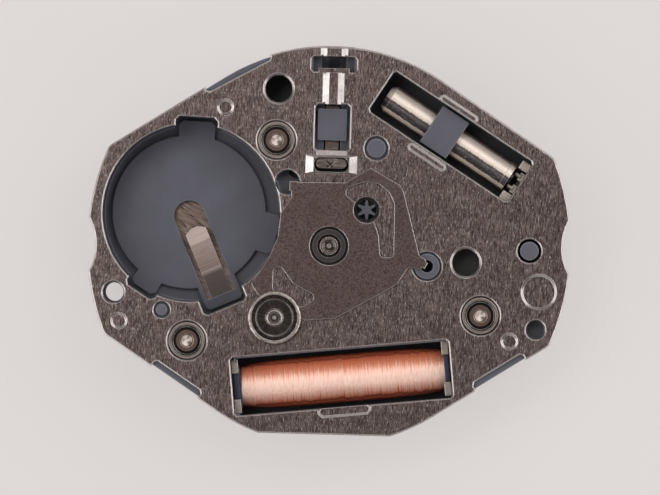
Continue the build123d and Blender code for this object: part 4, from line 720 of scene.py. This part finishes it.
def makeSquares(name, look):
    pieces = []
    middleHeight = (look["low"] + look["high"]) / 2
    for along, across, length, width in look["places"]:
        deselectAll()
        bpy.ops.mesh.primitive_cube_add(size=1, location=(along * mm, across * mm, middleHeight * mm))
        piece = bpy.context.object
        piece.scale = (length * mm, width * mm, (look["high"] - look["low"]) * mm)
        bpy.ops.object.transform_apply(location=True, rotation=True, scale=True)
        bpy.ops.object.mode_set(mode="EDIT")
        bpy.ops.mesh.select_all(action="SELECT")
        bpy.ops.mesh.bevel(offset=squareBevel["offset"] * mm, segments=squareBevel["segments"], affect="EDGES")
        bpy.ops.object.mode_set(mode="OBJECT")
        pieces.append(piece)
    whole = joinPieces(pieces, name, (*look["at"]["middle"], 0), look["at"]["turn"])
    whole.data.materials.append(finishes[look["finish"]])
    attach(whole, "movement_base")


for name, look in squaresLook.items():
    makeSquares(name, look)
print("window squares made")

# floor, lamps, world and camera

stageLook = {
    "floor": tone(221, 215, 214), "floorSide": 3.0, "floorLevel": -1.5, "floorRough": 0.8, "floorGloss": 0.1,
    "floorPlain": 0.75, "world": (0.18, 0.166, 0.162, 1), "lampFar": 0.32,
    "lamps": [
        # bearing and height in degrees, width and height of the lamp in metres, brightness
        (26, 50, 0.20, 0.16, 1.9),
        (60, 44, 0.34, 0.38, 0.85),
        (194, 50, 0.24, 0.18, 1.9),
        (290, 44, 0.36, 0.20, 1.1),
        (355, 12, 0.36, 0.11, 2.8),
        (204, 12, 0.42, 0.11, 2.6),
        (92, 26, 0.26, 0.16, 0.7),
        (140, 67, 0.18, 0.11, 3.6),
    ],
    # straight above the back of the movement and a little turned, as in the photograph
    "sensor": 36, "lens": 414.7, "cameraAt": (0.041, -0.062, 300), "cameraTurn": 1.64, "clip": (0.01, 10),
}


def makeFloor():
    look = stageLook
    deselectAll()
    bpy.ops.mesh.primitive_grid_add(x_subdivisions=2, y_subdivisions=2, size=look["floorSide"],
                                    location=(0, 0, look["floorLevel"] * mm))
    floor = bpy.context.object
    floor.name = "Floor"
    bpy.ops.object.transform_apply(location=True, rotation=True, scale=True)
    material, tree, shader = startFinish("Pale floor", Base_Color=look["floor"], Roughness=look["floorRough"],
                                         Specular_IOR_Level=look["floorGloss"])
    # the camera sees most of the floor at its plain colour, the rest keeps the shadow
    plain = addNode(tree, "ShaderNodeEmission", Color=look["floor"], Strength=1.0)
    rays = addNode(tree, "ShaderNodeLightPath")
    blend = addNode(tree, "ShaderNodeMixShader")
    share = calc(tree, "MULTIPLY", rays.outputs["Is Camera Ray"], look["floorPlain"])
    for place, value in enumerate((share, shader.outputs[0], plain.outputs[0])):
        tree.links.new(value, blend.inputs[place])
    tree.links.new(blend.outputs[0], tree.nodes["Material Output"].inputs["Surface"])
    floor.data.materials.append(material)


def placeHolder(name, data):
    holder = bpy.data.objects.new(name, data)
    bpy.context.scene.collection.objects.link(holder)
    return holder


def makeLamps():
    for number, (bearing, height, width, tall, brightness) in enumerate(stageLook["lamps"]):
        turn = math.radians(bearing)
        lift = math.radians(height)
        place = Vector((math.cos(lift) * math.cos(turn), math.cos(lift) * math.sin(turn), math.sin(lift)))
        lamp = bpy.data.lights.new(f"Soft lamp {number + 1}", "AREA")
        lamp.shape = "RECTANGLE"
        lamp.size = width
        lamp.size_y = tall
        lamp.energy = brightness * math.pi * width * tall
        holder = placeHolder(lamp.name, lamp)
        holder.location = place * stageLook["lampFar"]
        holder.rotation_euler = (-place).to_track_quat("-Z", "Y").to_euler()


def makeWorld():
    world = bpy.data.worlds.new("Soft room")
    world.use_nodes = True
    world.node_tree.nodes["Background"].inputs["Color"].default_value = stageLook["world"]
    bpy.context.scene.world = world


def makeCamera():
    look = stageLook
    camera = bpy.data.cameras.new("Camera")
    camera.sensor_width = look["sensor"]
    camera.lens = look["lens"]
    camera.clip_start, camera.clip_end = look["clip"]
    holder = placeHolder("Camera", camera)
    holder.location = Vector(look["cameraAt"]) * mm
    holder.rotation_euler = (0, 0, math.radians(look["cameraTurn"]))
    bpy.context.scene.camera = holder


makeFloor()
makeLamps()
makeWorld()
makeCamera()
bpy.context.scene.view_settings.view_transform = "Standard"
print("stage, lamps and camera made")
